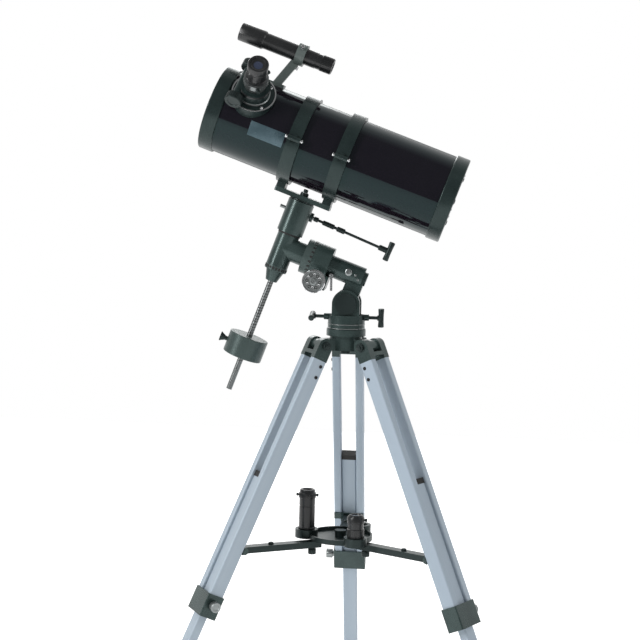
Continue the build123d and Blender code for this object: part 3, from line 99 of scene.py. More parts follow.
def make_camera():
    data = bpy.data.cameras.new("camera")
    data.sensor_width = SENSOR
    data.lens = FOCAL_PIXELS * SENSOR / PHOTO_SIZE
    camera = bpy.data.objects.new("camera", data)
    bpy.context.scene.collection.objects.link(camera)
    azimuth = math.radians(VIEW_AZIMUTH)
    back = Vector((math.sin(azimuth), -math.cos(azimuth), 0))
    aside = math.degrees(math.atan((AXIS_PIXEL - PHOTO_SIZE / 2) / FOCAL_PIXELS))
    place = Vector((TRIPOD_AXIS.x, TRIPOD_AXIS.y, 0)) + back * VIEW_DISTANCE
    level = turn(VIEW_AZIMUTH + aside, "Z") @ turn(90 - VIEW_PITCH, "X")
    camera.matrix_world = Matrix.Translation((place.x, place.y, VIEW_HEIGHT)) @ level @ turn(VIEW_ROLL, "Z")
    bpy.context.scene.camera = camera


# Shader node groups
def new_group(name, inputs, outputs):
    """An empty shader group with named sockets, and its input and output nodes."""
    group = bpy.data.node_groups.new(name, "ShaderNodeTree")
    for label, kind, value in inputs:
        socket = group.interface.new_socket(label, in_out="INPUT", socket_type=kind)
        if value is not None:
            socket.default_value = value
    for label, kind in outputs:
        group.interface.new_socket(label, in_out="OUTPUT", socket_type=kind)
    return group, group.nodes.new("NodeGroupInput"), group.nodes.new("NodeGroupOutput")


def noise(tree, vector, scale, detail=5.0):
    node = tree.nodes.new("ShaderNodeTexNoise")
    node.inputs["Detail"].default_value = detail
    tree.links.new(vector, node.inputs["Vector"])
    if isinstance(scale, float):
        node.inputs["Scale"].default_value = scale
    else:
        tree.links.new(scale, node.inputs["Scale"])
    return node.outputs["Fac"]


def remap(tree, value, low, high, to_low, to_high):
    node = tree.nodes.new("ShaderNodeMapRange")
    labels = ("Value", "From Min", "From Max", "To Min", "To Max")
    for source, label in zip((value, low, high, to_low, to_high), labels):
        if isinstance(source, (int, float)):
            node.inputs[label].default_value = source
        else:
            tree.links.new(source, node.inputs[label])
    return node.outputs["Result"]


def larger(tree, first, second):
    node = tree.nodes.new("ShaderNodeMath")
    node.operation = "MAXIMUM"
    tree.links.new(first, node.inputs[0])
    tree.links.new(second, node.inputs[1])
    return node.outputs[0]


def mix_colour(tree, factor, first, second):
    node = tree.nodes.new("ShaderNodeMix")
    node.data_type = "RGBA"
    tree.links.new(factor, node.inputs["Factor"])
    for source, place in ((first, 6), (second, 7)):
        if isinstance(source, tuple):
            node.inputs[place].default_value = (*source, 1)
        else:
            tree.links.new(source, node.inputs[place])
    return node.outputs[2]


def grain_group():
    """Fine grain: a roughness that varies between two values, and a height for a bump."""
    group, given, out = new_group(
        "fine_grain",
        (("Vector", "NodeSocketVector", None), ("Scale", "NodeSocketFloat", 900.0),
         ("Smooth", "NodeSocketFloat", 0.3), ("Rough", "NodeSocketFloat", 0.5)),
        (("Roughness", "NodeSocketFloat"), ("Height", "NodeSocketFloat")))
    fine = noise(group, given.outputs["Vector"], given.outputs["Scale"])
    broad = noise(group, given.outputs["Vector"], 14.0)
    add = group.nodes.new("ShaderNodeMath")
    add.operation = "ADD"
    group.links.new(fine, add.inputs[0])
    group.links.new(broad, add.inputs[1])
    rough = remap(group, add.outputs[0], 0.6, 1.4, given.outputs["Smooth"], given.outputs["Rough"])
    group.links.new(rough, out.inputs["Roughness"])
    group.links.new(fine, out.inputs["Height"])
    return group


def handling_group():
    """Colour that shifts a little in broad patches, with faint rubbed specks."""
    group, given, out = new_group(
        "handling",
        (("Vector", "NodeSocketVector", None), ("Clean", "NodeSocketColor", (0.1, 0.1, 0.1, 1)),
         ("Rubbed", "NodeSocketColor", (0.2, 0.2, 0.2, 1))),
        (("Color", "NodeSocketColor"),))
    patches = remap(group, noise(group, given.outputs["Vector"], 22.0), 0.35, 0.75, 0.0, 0.7)
    specks = remap(group, noise(group, given.outputs["Vector"], 420.0), 0.62, 0.74, 0.0, 1.0)
    worn = mix_colour(group, larger(group, patches, specks), given.outputs["Clean"], given.outputs["Rubbed"])
    group.links.new(worn, out.inputs["Color"])
    return group


GRAIN = grain_group()
HANDLING = handling_group()


# Materials
BUMP_HEIGHT = 0.2 * MM
COAT_ROUGHNESS = 0.04


def finish_material(name, clean, rubbed, smooth, rough, scale, bump, metallic=0.0, coat=0.0, specular=0.5,
                    tint=(1.0, 1.0, 1.0), mapping=None):
    """A material with patchy colour, varied roughness and a fine bump."""
    material = bpy.data.materials.new(name)
    material.use_nodes = True
    tree = material.node_tree
    shader = tree.nodes["Principled BSDF"]
    coordinates = tree.nodes.new("ShaderNodeTexCoord").outputs["Object"]
    if mapping:
        turned_map = tree.nodes.new("ShaderNodeMapping")
        turned_map.vector_type = "TEXTURE"
        turned_map.inputs["Rotation"].default_value, turned_map.inputs["Scale"].default_value = mapping
        tree.links.new(coordinates, turned_map.inputs["Vector"])
        coordinates = turned_map.outputs["Vector"]
    colour = tree.nodes.new("ShaderNodeGroup")
    colour.node_tree = HANDLING
    colour.inputs["Clean"].default_value = (*clean, 1)
    colour.inputs["Rubbed"].default_value = (*rubbed, 1)
    grain = tree.nodes.new("ShaderNodeGroup")
    grain.node_tree = GRAIN
    grain.inputs["Scale"].default_value = scale
    grain.inputs["Smooth"].default_value = smooth
    grain.inputs["Rough"].default_value = rough
    raised = tree.nodes.new("ShaderNodeBump")
    raised.inputs["Strength"].default_value = bump
    raised.inputs["Distance"].default_value = BUMP_HEIGHT
    for node in (colour, grain):
        tree.links.new(coordinates, node.inputs["Vector"])
    tree.links.new(colour.outputs["Color"], shader.inputs["Base Color"])
    tree.links.new(grain.outputs["Roughness"], shader.inputs["Roughness"])
    tree.links.new(grain.outputs["Height"], raised.inputs["Height"])
    tree.links.new(raised.outputs["Normal"], shader.inputs["Normal"])
    shader.inputs["Metallic"].default_value = metallic
    shader.inputs["Coat Weight"].default_value = coat
    shader.inputs["Coat Roughness"].default_value = COAT_ROUGHNESS
    shader.inputs["Specular IOR Level"].default_value = specular
    shader.inputs["Specular Tint"].default_value = (*tint, 1)
    return material


HAZE_FROM, HAZE_TO = 0.6, 0.95  # how far the paint faces away where the haze begins and is full
HAZE = 0.55


def haze_edges(material):
    """Blurs a gloss towards the edges, as fine dust on the paint does."""
    tree = material.node_tree
    roughness = tree.nodes["Principled BSDF"].inputs["Roughness"]
    sideways = tree.nodes.new("ShaderNodeLayerWeight").outputs["Facing"]
    haze = remap(tree, sideways, HAZE_FROM, HAZE_TO, 0, HAZE)
    tree.links.new(larger(tree, roughness.links[0].from_socket, haze), roughness)


def leg_material(number):
    """Drawn and anodised aluminium, with faint lines along one leg."""
    along_leg = (LEG[number].to_euler(), (1.0, 1.0, 140.0))
    return finish_material(f"drawn_aluminium_{number}", (0.36, 0.43, 0.50), (0.44, 0.51, 0.57),
                           0.46, 0.62, 700.0, 0.25, metallic=0.3, mapping=along_leg)


TEAL = (0.55, 1.0, 0.95)  # tint of the tube's gloss
PALE_TEAL = (0.8, 1.0, 0.98)  # tint of the castings' sheen
gloss_black = finish_material("gloss_black_paint", (0.008, 0.005, 0.009), (0.010, 0.007, 0.011),
                              0.03, 0.08, 600.0, 0.004, specular=0.3, tint=TEAL)
haze_edges(gloss_black)
bore_black = finish_material("matt_black_bore", (0.008, 0.008, 0.008), (0.014, 0.014, 0.014),
                             0.6, 0.8, 900.0, 0.3)
moulded_black = finish_material("moulded_black", (0.008, 0.012, 0.012), (0.014, 0.020, 0.020),
                                0.32, 0.46, 1500.0, 0.25, specular=0.4, tint=PALE_TEAL)
crinkle_green = finish_material("crinkle_grey_green", (0.018, 0.029, 0.028), (0.044, 0.066, 0.063),
                                0.2, 0.34, 1300.0, 0.22, tint=PALE_TEAL)
ring_paint = finish_material("ring_paint", (0.010, 0.017, 0.017), (0.024, 0.036, 0.035),
                             0.2, 0.34, 1100.0, 0.2, specular=0.35, tint=PALE_TEAL)
finder_paint = finish_material("finder_paint", (0.075, 0.095, 0.090), (0.12, 0.145, 0.138),
                               0.24, 0.4, 1100.0, 0.2)
weight_paint = finish_material("weight_paint", (0.038, 0.054, 0.052), (0.054, 0.073, 0.070),
                               0.3, 0.45, 900.0, 0.6, tint=PALE_TEAL)
bright_steel = finish_material("bright_steel", (0.55, 0.56, 0.57), (0.66, 0.67, 0.68),
                               0.16, 0.3, 1400.0, 0.08, metallic=1.0)
dull_steel = finish_material("dull_steel", (0.24, 0.26, 0.26), (0.33, 0.35, 0.35),
                             0.28, 0.42, 1200.0, 0.1, metallic=0.9)
rod_steel = finish_material("rod_steel", (0.15, 0.16, 0.16), (0.22, 0.235, 0.235),
                            0.28, 0.42, 1200.0, 0.1, metallic=0.9)
chrome = finish_material("chrome", (0.72, 0.73, 0.74), (0.62, 0.63, 0.64),
                         0.06, 0.14, 800.0, 0.02, metallic=1.0)
worm_brass = finish_material("worm_brass", (0.62, 0.45, 0.18), (0.5, 0.36, 0.14),
                             0.2, 0.36, 1000.0, 0.1, metallic=1.0)
black_anodised = finish_material("black_anodised", (0.010, 0.011, 0.012), (0.02, 0.021, 0.022),
                                 0.24, 0.36, 1500.0, 0.1)
rubber = finish_material("grip_rubber", (0.012, 0.012, 0.012), (0.025, 0.025, 0.024),
                         0.6, 0.78, 1700.0, 0.4)
mirror_silver = finish_material("mirror_silver", (0.86, 0.88, 0.9), (0.84, 0.86, 0.88),
                                0.01, 0.03, 500.0, 0.0, metallic=1.0)
lens_coating = finish_material("coated_lens", (0.02, 0.03, 0.06), (0.03, 0.04, 0.08),
                               0.02, 0.05, 500.0, 0.0, coat=1.0)
plate_blue = finish_material("bare_silver_plate", (0.038, 0.072, 0.088), (0.11, 0.17, 0.20),
                             0.22, 0.36, 900.0, 0.1, metallic=0.4)
drawn_aluminium = {n: leg_material(n) for n in LEGS}

FINISHES = {
    "tripod_head": crinkle_green, "tripod_bolts": moulded_black, "accessory_tray": moulded_black,
    "tray_lens_tube": black_anodised, "tray_eyepiece": black_anodised, "azimuth_base": crinkle_green,
    "latitude_pin": moulded_black, "latitude_screw_front": moulded_black,
    "latitude_screw_rear": moulded_black,
    "polar_housing": crinkle_green, "ra_shaft": dull_steel, "ra_worm": worm_brass, "ra_knob": chrome,
    "ra_clamp_lever": bright_steel, "ra_setting_circle": weight_paint, "dec_housing": crinkle_green,
    "dec_worm": dull_steel, "slow_motion_control": moulded_black, "dec_shaft": dull_steel,
    "shaft_collar": crinkle_green, "counterweight_rod": rod_steel, "counterweight": weight_paint,
    "counterweight_screw": moulded_black, "saddle_plate": crinkle_green, "ring_lower_halves": ring_paint,
    "ring_pins": chrome, "ring_upper_front": ring_paint, "ring_upper_rear": ring_paint,
    "ring_screw_front": moulded_black, "ring_screw_rear": moulded_black, "tube": gloss_black,
    "front_ring": ring_paint, "rear_cell": ring_paint, "primary_mirror": mirror_silver, "spider": bore_black,
    "secondary_mirror": mirror_silver, "finder_tube": black_anodised, "finder_bracket": finder_paint,
    "focuser_body": ring_paint, "drawtube": dull_steel, "focus_knobs": moulded_black,
    "eyepiece": black_anodised,
}
for n in LEGS:
    FINISHES |= {
        f"leg_{n}_rails": drawn_aluminium[n], f"leg_{n}_castings": crinkle_green,
        f"leg_{n}_brace": moulded_black,
        f"leg_{n}_lower": drawn_aluminium[n], f"leg_{n}_caps": rubber, f"leg_{n}_lock_screw": dull_steel,
    }


def dress_nodes():
    """Gives every CAD node its finish."""
    for name, material in FINISHES.items():
        mesh = nodes[name].data
        mesh.materials.clear()
        mesh.materials.append(material)


# Studio
FLOOR_SIDE = 6.4
FLOOR_GREY = 0.86
FLOOR_LIFT = 0.6  # light of its own that the camera and the gloss see
SURROUND_LIGHT = 0.6
ROOM_LIGHT = 0.22  # what gloss shows of the room before the object
ROOM_EDGE, BACKDROP_EDGE = -0.1, 0.6  # where the room ends and the white backdrop begins, from front to back
LAMP_AIM = 0.85
LAMPS = (
    ("key_lamp", (-2.1, -1.7, 1.9), (0.5, 1.9), 50),
    ("side_lamp", (2.4, -1.2, 1.8), (0.4, 1.6), 12),
    ("back_lamp", (-0.6, 2.4, 2.4), (1.6, 1.6), 30),
)


def floor_material():
    """A pale floor that looks white and keeps the object's shadow."""
    material = bpy.data.materials.new("pale_floor")
    material.use_nodes = True
    tree = material.node_tree
    shader = tree.nodes["Principled BSDF"]
    shader.inputs["Base Color"].default_value = (FLOOR_GREY, FLOOR_GREY, FLOOR_GREY, 1)
    shader.inputs["Roughness"].default_value = 0.9
    shader.inputs["Emission Color"].default_value = (1, 1, 1, 1)
    path = tree.nodes.new("ShaderNodeLightPath")
    mirrored = larger(tree, path.outputs["Is Glossy Ray"], path.outputs["Is Transmission Ray"])
    looked_at = larger(tree, mirrored, path.outputs["Is Camera Ray"])
    tree.links.new(remap(tree, looked_at, 0, 1, 0, FLOOR_LIFT), shader.inputs["Emission Strength"])
    return material


def make_studio():
    """A pale floor, a white backdrop, a dim room before it and soft lamps."""
    bpy.ops.object.select_all(action="DESELECT")
    bpy.ops.mesh.primitive_plane_add(size=FLOOR_SIDE, location=(TRIPOD_AXIS.x, TRIPOD_AXIS.y, 0))
    floor = bpy.context.active_object
    floor.name = "floor"
    floor.data.materials.append(floor_material())
    world = bpy.data.worlds.new("surround")
    bpy.context.scene.world = world
    world.use_nodes = True
    tree = world.node_tree
    path = tree.nodes.new("ShaderNodeLightPath")
    apart = tree.nodes.new("ShaderNodeSeparateXYZ")
    tree.links.new(tree.nodes.new("ShaderNodeTexCoord").outputs["Generated"], apart.inputs[0])
    backdrop = remap(tree, apart.outputs["Y"], ROOM_EDGE, BACKDROP_EDGE, ROOM_LIGHT, 1)
    mirrored = larger(tree, path.outputs["Is Glossy Ray"], path.outputs["Is Transmission Ray"])
    around_object = remap(tree, mirrored, 0, 1, SURROUND_LIGHT, backdrop)
    strength = larger(tree, around_object, path.outputs["Is Camera Ray"])
    tree.links.new(strength, tree.nodes["Background"].inputs["Strength"])
    tree.nodes["Background"].inputs["Color"].default_value = (1, 1, 1, 1)
    for name, place, size, power in LAMPS:
        lamp = bpy.data.lights.new(name, "AREA")
        lamp.shape = "RECTANGLE"
        lamp.size, lamp.size_y = size
        lamp.energy = power
        holder = bpy.data.objects.new(name, lamp)
        bpy.context.scene.collection.objects.link(holder)
        spot_at = Vector(place)
        aim = Vector((0, 0, LAMP_AIM)) - spot_at
        aimed = aim.to_track_quat("-Z", "Y").to_matrix().to_4x4()
        holder.matrix_world = Matrix.Translation(spot_at) @ aimed


# Modelling: sizes in millimetres, each piece made about its own z and then put in its place
SMOOTH_ANGLE = math.radians(38)
GRIP_MARGIN = 0.18  # width left round each sunk face of a grip
CUTTER_HALF = 500


def only(piece):
    """Selects one piece alone."""
    bpy.ops.object.select_all(action="DESELECT")
    piece.select_set(True)
    bpy.context.view_layer.objects.active = piece


def turned(steps, sides=40):
    """A lathe piece: a disc drawn out through steps of radius and height."""
    bpy.ops.object.select_all(action="DESELECT")
    radius, height = steps[0]
    bpy.ops.mesh.primitive_circle_add(vertices=sides, radius=radius * MM, fill_type="NGON",
                                      location=(0, 0, height * MM))
    piece = bpy.context.active_object
    bpy.ops.object.transform_apply(location=True, rotation=True, scale=True)
    bpy.ops.object.mode_set(mode="EDIT")
    bpy.ops.mesh.select_all(action="SELECT")
    for next_radius, next_height in steps[1:]:
        rise = (0, 0, (next_height - height) * MM)
        bpy.ops.mesh.extrude_region_move(TRANSFORM_OT_translate={"value": rise})
        growth = next_radius / radius
        bpy.ops.transform.resize(value=(growth, growth, 1), center_override=(0, 0, next_height * MM))
        radius, height = next_radius, next_height
    bpy.ops.mesh.select_all(action="SELECT")
    bpy.ops.mesh.normals_make_consistent(inside=False)
    bpy.ops.object.mode_set(mode="OBJECT")
    return piece


def select_faces(piece, wanted):
    """Selects the faces that a test picks, and goes to edit mode."""
    only(piece)
    mesh = piece.data
    mesh.vertices.foreach_set("select", [False] * len(mesh.vertices))
    mesh.edges.foreach_set("select", [False] * len(mesh.edges))
    mesh.polygons.foreach_set("select", [wanted(face) for face in mesh.polygons])
    bpy.ops.object.mode_set(mode="EDIT")
    bpy.context.tool_settings.mesh_select_mode = (False, False, True)


def knurl(piece, low, high, sides, depth=0.45):
    """Sinks every second side face between two heights, as a knob's grip."""
    def wanted(face):
        middle = face.center
        number = round((math.atan2(middle.y, middle.x) / math.tau) * sides - 0.5)
        return abs(face.normal.z) < 0.2 and low * MM < middle.z < high * MM and number % 2 == 0

    select_faces(piece, wanted)
    bpy.ops.mesh.inset(thickness=GRIP_MARGIN * MM, depth=-depth * MM, use_individual=True)
    bpy.ops.object.mode_set(mode="OBJECT")
    return piece


def scatter(piece, places):
    """Copies a piece to each place, every copy with its own mesh, and joins them to one."""
    copies = []
    for place in places:
        copy = duplicate(piece)
        copy.data.transform(place)
        copies.append(copy)
    bpy.data.objects.remove(piece)
    return joined(copies)


def duplicate(piece):
    copy = bpy.data.objects.new(piece.name, piece.data.copy())
    bpy.context.scene.collection.objects.link(copy)
    return copy


def joined(parts):
    bpy.ops.object.select_all(action="DESELECT")
    for part in parts:
        part.select_set(True)
    bpy.context.view_layer.objects.active = parts[0]
    if len(parts) > 1:
        bpy.ops.object.join()
    return bpy.context.view_layer.objects.active


def moved(piece, place):
    piece.data.transform(place)
    return piece


def settle(piece, name, place, body, material, replaces=None):
    """Names a piece, puts it in its place with its finish, and lets it ride on its body."""
    piece.name = name
    piece.data.name = name
    piece.data.transform(place)
    if not piece.data.materials:
        piece.data.materials.append(material)
    only(piece)
    bpy.ops.object.shade_smooth_by_angle(angle=SMOOTH_ANGLE)
    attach(piece, body)
    if replaces:
        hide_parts(replaces)


def mm(x, y, z):
    return Matrix.Translation((x * MM, y * MM, z * MM))


ALONG_X = turn(90, "Y")  # stands a piece's z along x
BACK_X = turn(-90, "Y")
TOWARDS_VIEW = turn(90, "X")  # stands a piece's z along -y
AWAY = turn(-90, "X")


def around(count, radius, height, start=0.0):
    """Places evenly round z."""
    return [turn(start + 360 * n / count, "Z") @ mm(radius, 0, height) for n in range(count)]


def screw_head(radius, height, sides=20):
    return turned(((radius, -0.3), (radius, 0.35 * height), (0.8 * radius, 0.8 * height),
                   (0.5 * radius, height), (0.42 * radius, height), (0.4 * radius, 0.45 * height)), sides)


def hand_knob(radius, length, stem_radius, stem, sides=36):
    """A knurled knob on a screw stem; the knob's back is at z = 0."""
    knob = turned(((stem_radius, -stem), (stem_radius, -0.1), (0.64 * radius, 0),
                   (0.64 * radius, 0.18 * length), (0.94 * radius, 0.21 * length), (radius, 0.28 * length),
                   (radius, 0.94 * length), (0.92 * radius, length), (0.6 * radius, length),
                   (0.54 * radius, 0.95 * length)), sides)
    return knurl(knob, 0.3 * length, 0.9 * length, sides)


def tee_bar(radius, half):
    """A handle's cross bar with rounded ends and a slight waist."""
    return turned(((0.6 * radius, -half), (0.92 * radius, -half + 0.5), (radius, -half + 1.6),
                   (0.9 * radius, -0.35 * half), (0.9 * radius, 0.35 * half), (radius, half - 1.6),
                   (0.92 * radius, half - 0.5), (0.6 * radius, half)), 28)


def hollowed(piece, radius):
    """Cuts a round hole right through a turned ring."""
    cutter = turned(((radius, -CUTTER_HALF), (radius, CUTTER_HALF)), 64)
    cut = piece.modifiers.new("hole", "BOOLEAN")
    cut.object = cutter
    cut.solver = "EXACT"
    only(piece)
    bpy.ops.object.modifier_apply(modifier="hole")
    bpy.data.objects.remove(cutter)
    return piece


# Mount pieces
WORM_AT, WORM_BELOW = 73, 31
KNOB_HUB = 24.3  # from the polar axis to the knob's hub, towards the viewer
KNOB_RIM, KNOB_FACE = 17, 30.2  # inner radius of the bright rim, and height of the sunk face


def slow_motion_knob():
    """A knurled knob with a bright rim, a sunk grey face, cupped dimples and a hub screw; every second dimple
    is matt black as painted shade.
    """
    knob = turned(((7, 0), (7, 20.2), (18.8, 20.7), (19.8, 21.6), (19.8, 30.8), (18.9, 31.7), (17.4, 31.7),
                   (16.8, 30.2), (6, 30.2), (5.6, 31.2), (4.4, 31.5), (3.9, 31.5), (3.6, 30.8)), 72)
    knurl(knob, 21.6, 30.8, 72, 0.6)
    knob.data.materials.append(chrome)
    knob.data.materials.append(dull_steel)
    for face in knob.data.polygons:
        inside_rim = math.hypot(face.center.x, face.center.y) < KNOB_RIM * MM
        if inside_rim and face.normal.z > 0.9 and face.center.z > (KNOB_FACE - 0.2) * MM:
            face.material_index = 1
    place = MOUNT @ mm(WORM_AT, -KNOB_HUB, -WORM_BELOW) @ TOWARDS_VIEW
    settle(knob, "slow_motion_knob", place, "ra_worm", chrome, "ra_knob")
    # The dark dimples are matt black as painted shade in their cups; the bright ones are steel.
    for name, start, finish in (("dark", 12, bore_black), ("bright", 42, bright_steel)):
        cup = turned(((2.7, -0.3), (2.7, 0.35), (2.2, 0.35), (1.3, -0.15)), 20)
        dimples = scatter(cup, around(6, 11.2, KNOB_FACE, start))
        settle(dimples, f"slow_motion_knob_{name}_dimples", place, "ra_worm", finish)


CIRCLE_RADIUS = 30.2
CIRCLE_EDGE = 54.6
DECLINATION_RADIUS, DECLINATION_MIDDLE = 19.6, -38.6
TICKS = 22
TICK_SIZE = (0.6, 3.4, 4.6)


def dial_ticks():
    """Raised dark marks round the edges of the two setting circles."""
    bpy.ops.object.select_all(action="DESELECT")
    bpy.ops.mesh.primitive_cube_add(size=MM)
    mark = bpy.context.active_object
    mark.data.transform(Matrix.Diagonal((*TICK_SIZE, 1)))
    only(mark)
    bpy.ops.object.mode_set(mode="EDIT")
    bpy.ops.mesh.select_all(action="SELECT")
    bpy.ops.mesh.bevel(offset=0.15 * MM, segments=1, affect="EDGES")
    bpy.ops.object.mode_set(mode="OBJECT")
    polar_marks = scatter(duplicate(mark), around(TICKS, CIRCLE_RADIUS, -2.5))
    settle(polar_marks, "polar_dial_ticks", MOUNT @ mm(CIRCLE_EDGE, 0, 0) @ ALONG_X, "ra_circle", bore_black)
    band = turned(((19.2, -42.8), (19.6, -42.6), (19.6, -34.6), (19.2, -34.4)), 64)
    settle(band, "declination_dial", MOUNT, "ra", weight_paint)
    declination_marks = scatter(mark, around(TICKS, DECLINATION_RADIUS, DECLINATION_MIDDLE))
    settle(declination_marks, "declination_dial_ticks", MOUNT, "ra", bore_black)


SLEEVE_SCREW = (121, -18.4, 2.6)
SLEEVE_SPOTS = ((134, 18.0, 2), (141, 17.8, -4), (96, 24.2, -14))
SADDLE_TOP = 95


def mount_screws():
    """Screw heads on the polar sleeve, a black ring of painted shade under the drum, and the saddle plate's
    washer and nut.
    """
    head = screw_head(6.2, 1.8, 32)
    settle(head, "sleeve_screw", MOUNT @ mm(*SLEEVE_SCREW) @ TOWARDS_VIEW, "polar", dull_steel)
    small = scatter(screw_head(2.2, 1.6), [MOUNT @ mm(x, -y, z) @ TOWARDS_VIEW for x, y, z in SLEEVE_SPOTS])
    settle(small, "sleeve_small_screws", Matrix(), "polar", dull_steel)
    # A matt black band round the step under the drum: painted shade in that step.
    painted_shade_band = turned(((19.2, 23.2), (20, 23.4), (20, 26.2), (19.2, 26.4)), 64)
    settle(painted_shade_band, "drum_painted_shade_ring", MOUNT, "ra", bore_black)
    washer = turned(((21.2, 84.5), (21.8, 85), (21.8, 86.2), (21.2, 86.6)), 64)
    settle(washer, "saddle_washer", MOUNT, "dec", moulded_black)
    nut = turned(((7.4, 0), (7.4, 4.5), (6.2, 5.2), (4, 5.4), (4, 11), (3.2, 11.8)), 24)
    settle(nut, "saddle_nut", MOUNT @ mm(0, 0, SADDLE_TOP), "dec", moulded_black)


BASE_EDGES = (-42.6, -35.6)  # heights from the latitude pin


def base_edges():
    """Bright edges round the azimuth base."""
    for name, height in zip(("low", "high"), BASE_EDGES):
        edge = hollowed(turned(((32, -0.9), (32.5, -0.5), (32.5, 0.5), (32, 0.9)), 96), 31)
        place = Matrix.Translation((TRIPOD_AXIS.x, TRIPOD_AXIS.y, PIVOT.z)) @ mm(0, 0, height)
        settle(edge, f"azimuth_{name}_edge", place, "azimuth", dull_steel)


TEE_BAR_RADIUS = 5.2
FRONT_BAR_TURN, REAR_BAR_TURN = 80, 0  # degrees from upright
SCREW_BELOW = 24  # the screws' line, under the latitude pin
BAR_AT = 60


def latitude_screws():
    """Tee-handled screws at both ends of the latitude fork, and the bosses that they go through."""
    for name, stand, bar_turn in (("front", BACK_X, FRONT_BAR_TURN), ("rear", ALONG_X, REAR_BAR_TURN)):
        stem = turned(((3, 21), (3, 38), (3, 53), (4.9, 54), (4.9, BAR_AT)), 24)
        bar = moved(tee_bar(TEE_BAR_RADIUS, 16.5), mm(0, 0, BAR_AT) @ turn(bar_turn, "Z") @ ALONG_X)
        level = Matrix.Translation(PIVOT) @ mm(0, 0, -SCREW_BELOW)
        screw = f"latitude_screw_{name}"
        settle(joined([stem, bar]), f"latitude_handle_{name}", level @ stand, screw, moulded_black, screw)
        boss = turned(((5.2, 24.5), (5.6, 25.5), (5.6, 38.5), (4.9, 39.2)), 28)
        settle(boss, f"latitude_boss_{name}", level @ stand, "azimuth", crinkle_green)


def slow_motion_rod():
    """The slow-motion control: a thin rod with two joints and a tee handle."""
    rod = turned(((4.4, 0), (4.4, 7.6), (2.4, 8.4), (2.4, 16), (3.9, 16.6), (4.4, 17.6), (4.4, 37),
                  (3.9, 38), (2.5, 38.6), (2.5, 43), (4.1, 43.6), (4.6, 44.6), (4.6, 57), (4.1, 58),
                  (2.4, 58.8), (2.4, 122), (4.4, 122.8), (5, 124), (5, 137), (4, 139)), 24)
    bar = moved(tee_bar(TEE_BAR_RADIUS, 17.2), mm(0, 0, 141.7) @ TOWARDS_VIEW)
    place = frame_of(spot("slow_motion_turn"), Vector((0, 1, 0)), line("slow_motion_turn"))
    settle(joined([rod, bar]), "slow_motion_handle", place, "slow_motion", moulded_black,
           "slow_motion_control")


ROD_RADIUS = 5
THREAD_TOP, THREAD_BOTTOM = -63.5, -216
THREAD_PITCH = 5.2
THREAD_STEPS = 14


def rod_thread():
    """A raised screw thread on the counterweight rod, coloured black as painted shade of its grooves."""
    bpy.ops.object.select_all(action="DESELECT")
    bpy.ops.mesh.primitive_circle_add(vertices=3, radius=0.8 * MM, fill_type="NOTHING",
                                      rotation=(math.radians(90), 0, 0))
    thread = bpy.context.active_object
    bpy.ops.object.transform_apply(location=True, rotation=True, scale=True)
    thread.data.transform(Matrix.Diagonal((0.5, 1, 1.9, 1)))
    thread.data.transform(mm(ROD_RADIUS - 0.1, 0, THREAD_BOTTOM))
    screw = thread.modifiers.new("screw", "SCREW")
    screw.axis = "Z"
    screw.screw_offset = THREAD_PITCH * MM
    screw.iterations = int((THREAD_TOP - THREAD_BOTTOM) / THREAD_PITCH)
    screw.steps = screw.render_steps = THREAD_STEPS
    only(thread)
    bpy.ops.object.modifier_apply(modifier="screw")
    bpy.ops.object.mode_set(mode="EDIT")
    bpy.ops.mesh.select_all(action="SELECT")
    bpy.ops.mesh.remove_doubles(threshold=0.001 * MM)
    bpy.ops.mesh.normals_make_consistent(inside=False)
    bpy.ops.object.mode_set(mode="OBJECT")
    # The thread is black: painted shade of the spiral grooves on the steel rod.
    settle(thread, "rod_thread", MOUNT, "dec", black_anodised)


WING_FLATNESS = 0.4
WEIGHT_SIDE, WEIGHT_MIDDLE = -34.8, -185.8


def weight_knob():
    """A wing screw: a stem with a flat wing that flares outwards and dips in its middle."""
    stem = turned(((3, -29), (3, 0), (4, 0.4), (4, 5), (3, 6)), 24)
    flare = ((3.4, 1.5), (4.2, 4), (6.2, 8.5), (8.2, 12), (8.5, 12.7), (8, 13), (6.8, 12.8), (3.6, 9.4))
    wing = turned(flare, 40)
    wing.data.transform(Matrix.Diagonal((1, WING_FLATNESS, 1, 1)))
    place = MOUNT @ mm(WEIGHT_SIDE, 0, WEIGHT_MIDDLE) @ BACK_X
    settle(joined([stem, wing]), "weight_knob", place, "counterweight_screw", moulded_black,
           "counterweight_screw")


# Rings and tube pieces
RING_AT = 42.3  # from the tube's balance point to each ring
RING_LUG, RING_LUG_LIFT = 85.8, 6.3
RING_PIN, RING_PIN_HALF = 81.8, 14


def ring_knobs():
    """Clamp knobs of the two rings, and the heads of their hinge pins."""
    for name, at in (("front", -RING_AT), ("rear", RING_AT)):
        knob = hand_knob(7.5, 13, 2.5, 12)
        screw = f"ring_screw_{name}"
        settle(knob, f"ring_knob_{name}", TUBE @ mm(at, RING_LUG, RING_LUG_LIFT), screw, moulded_black, screw)
        pin_ends = [mm(at + RING_PIN_HALF, -RING_PIN, 0) @ ALONG_X,
                    mm(at - RING_PIN_HALF, -RING_PIN, 0) @ BACK_X]
        ends = scatter(screw_head(3.2, 2.2), pin_ends)
        settle(ends, f"ring_pin_heads_{name}", TUBE, "dec", bright_steel)


PLATE_RADIUS = 72.02
PLATE_LENGTH, PLATE_HEIGHT = 62, 26
PLATE_AT = -90
PLATE_TURN = -82  # round the tube, so that the plate looks at the viewer from a little under the axis
PLATE_PROUD = 0.5
PLATE_EDGE = 0.15
PLATE_SIDES = 360  # of the whole round that the plate is cut from


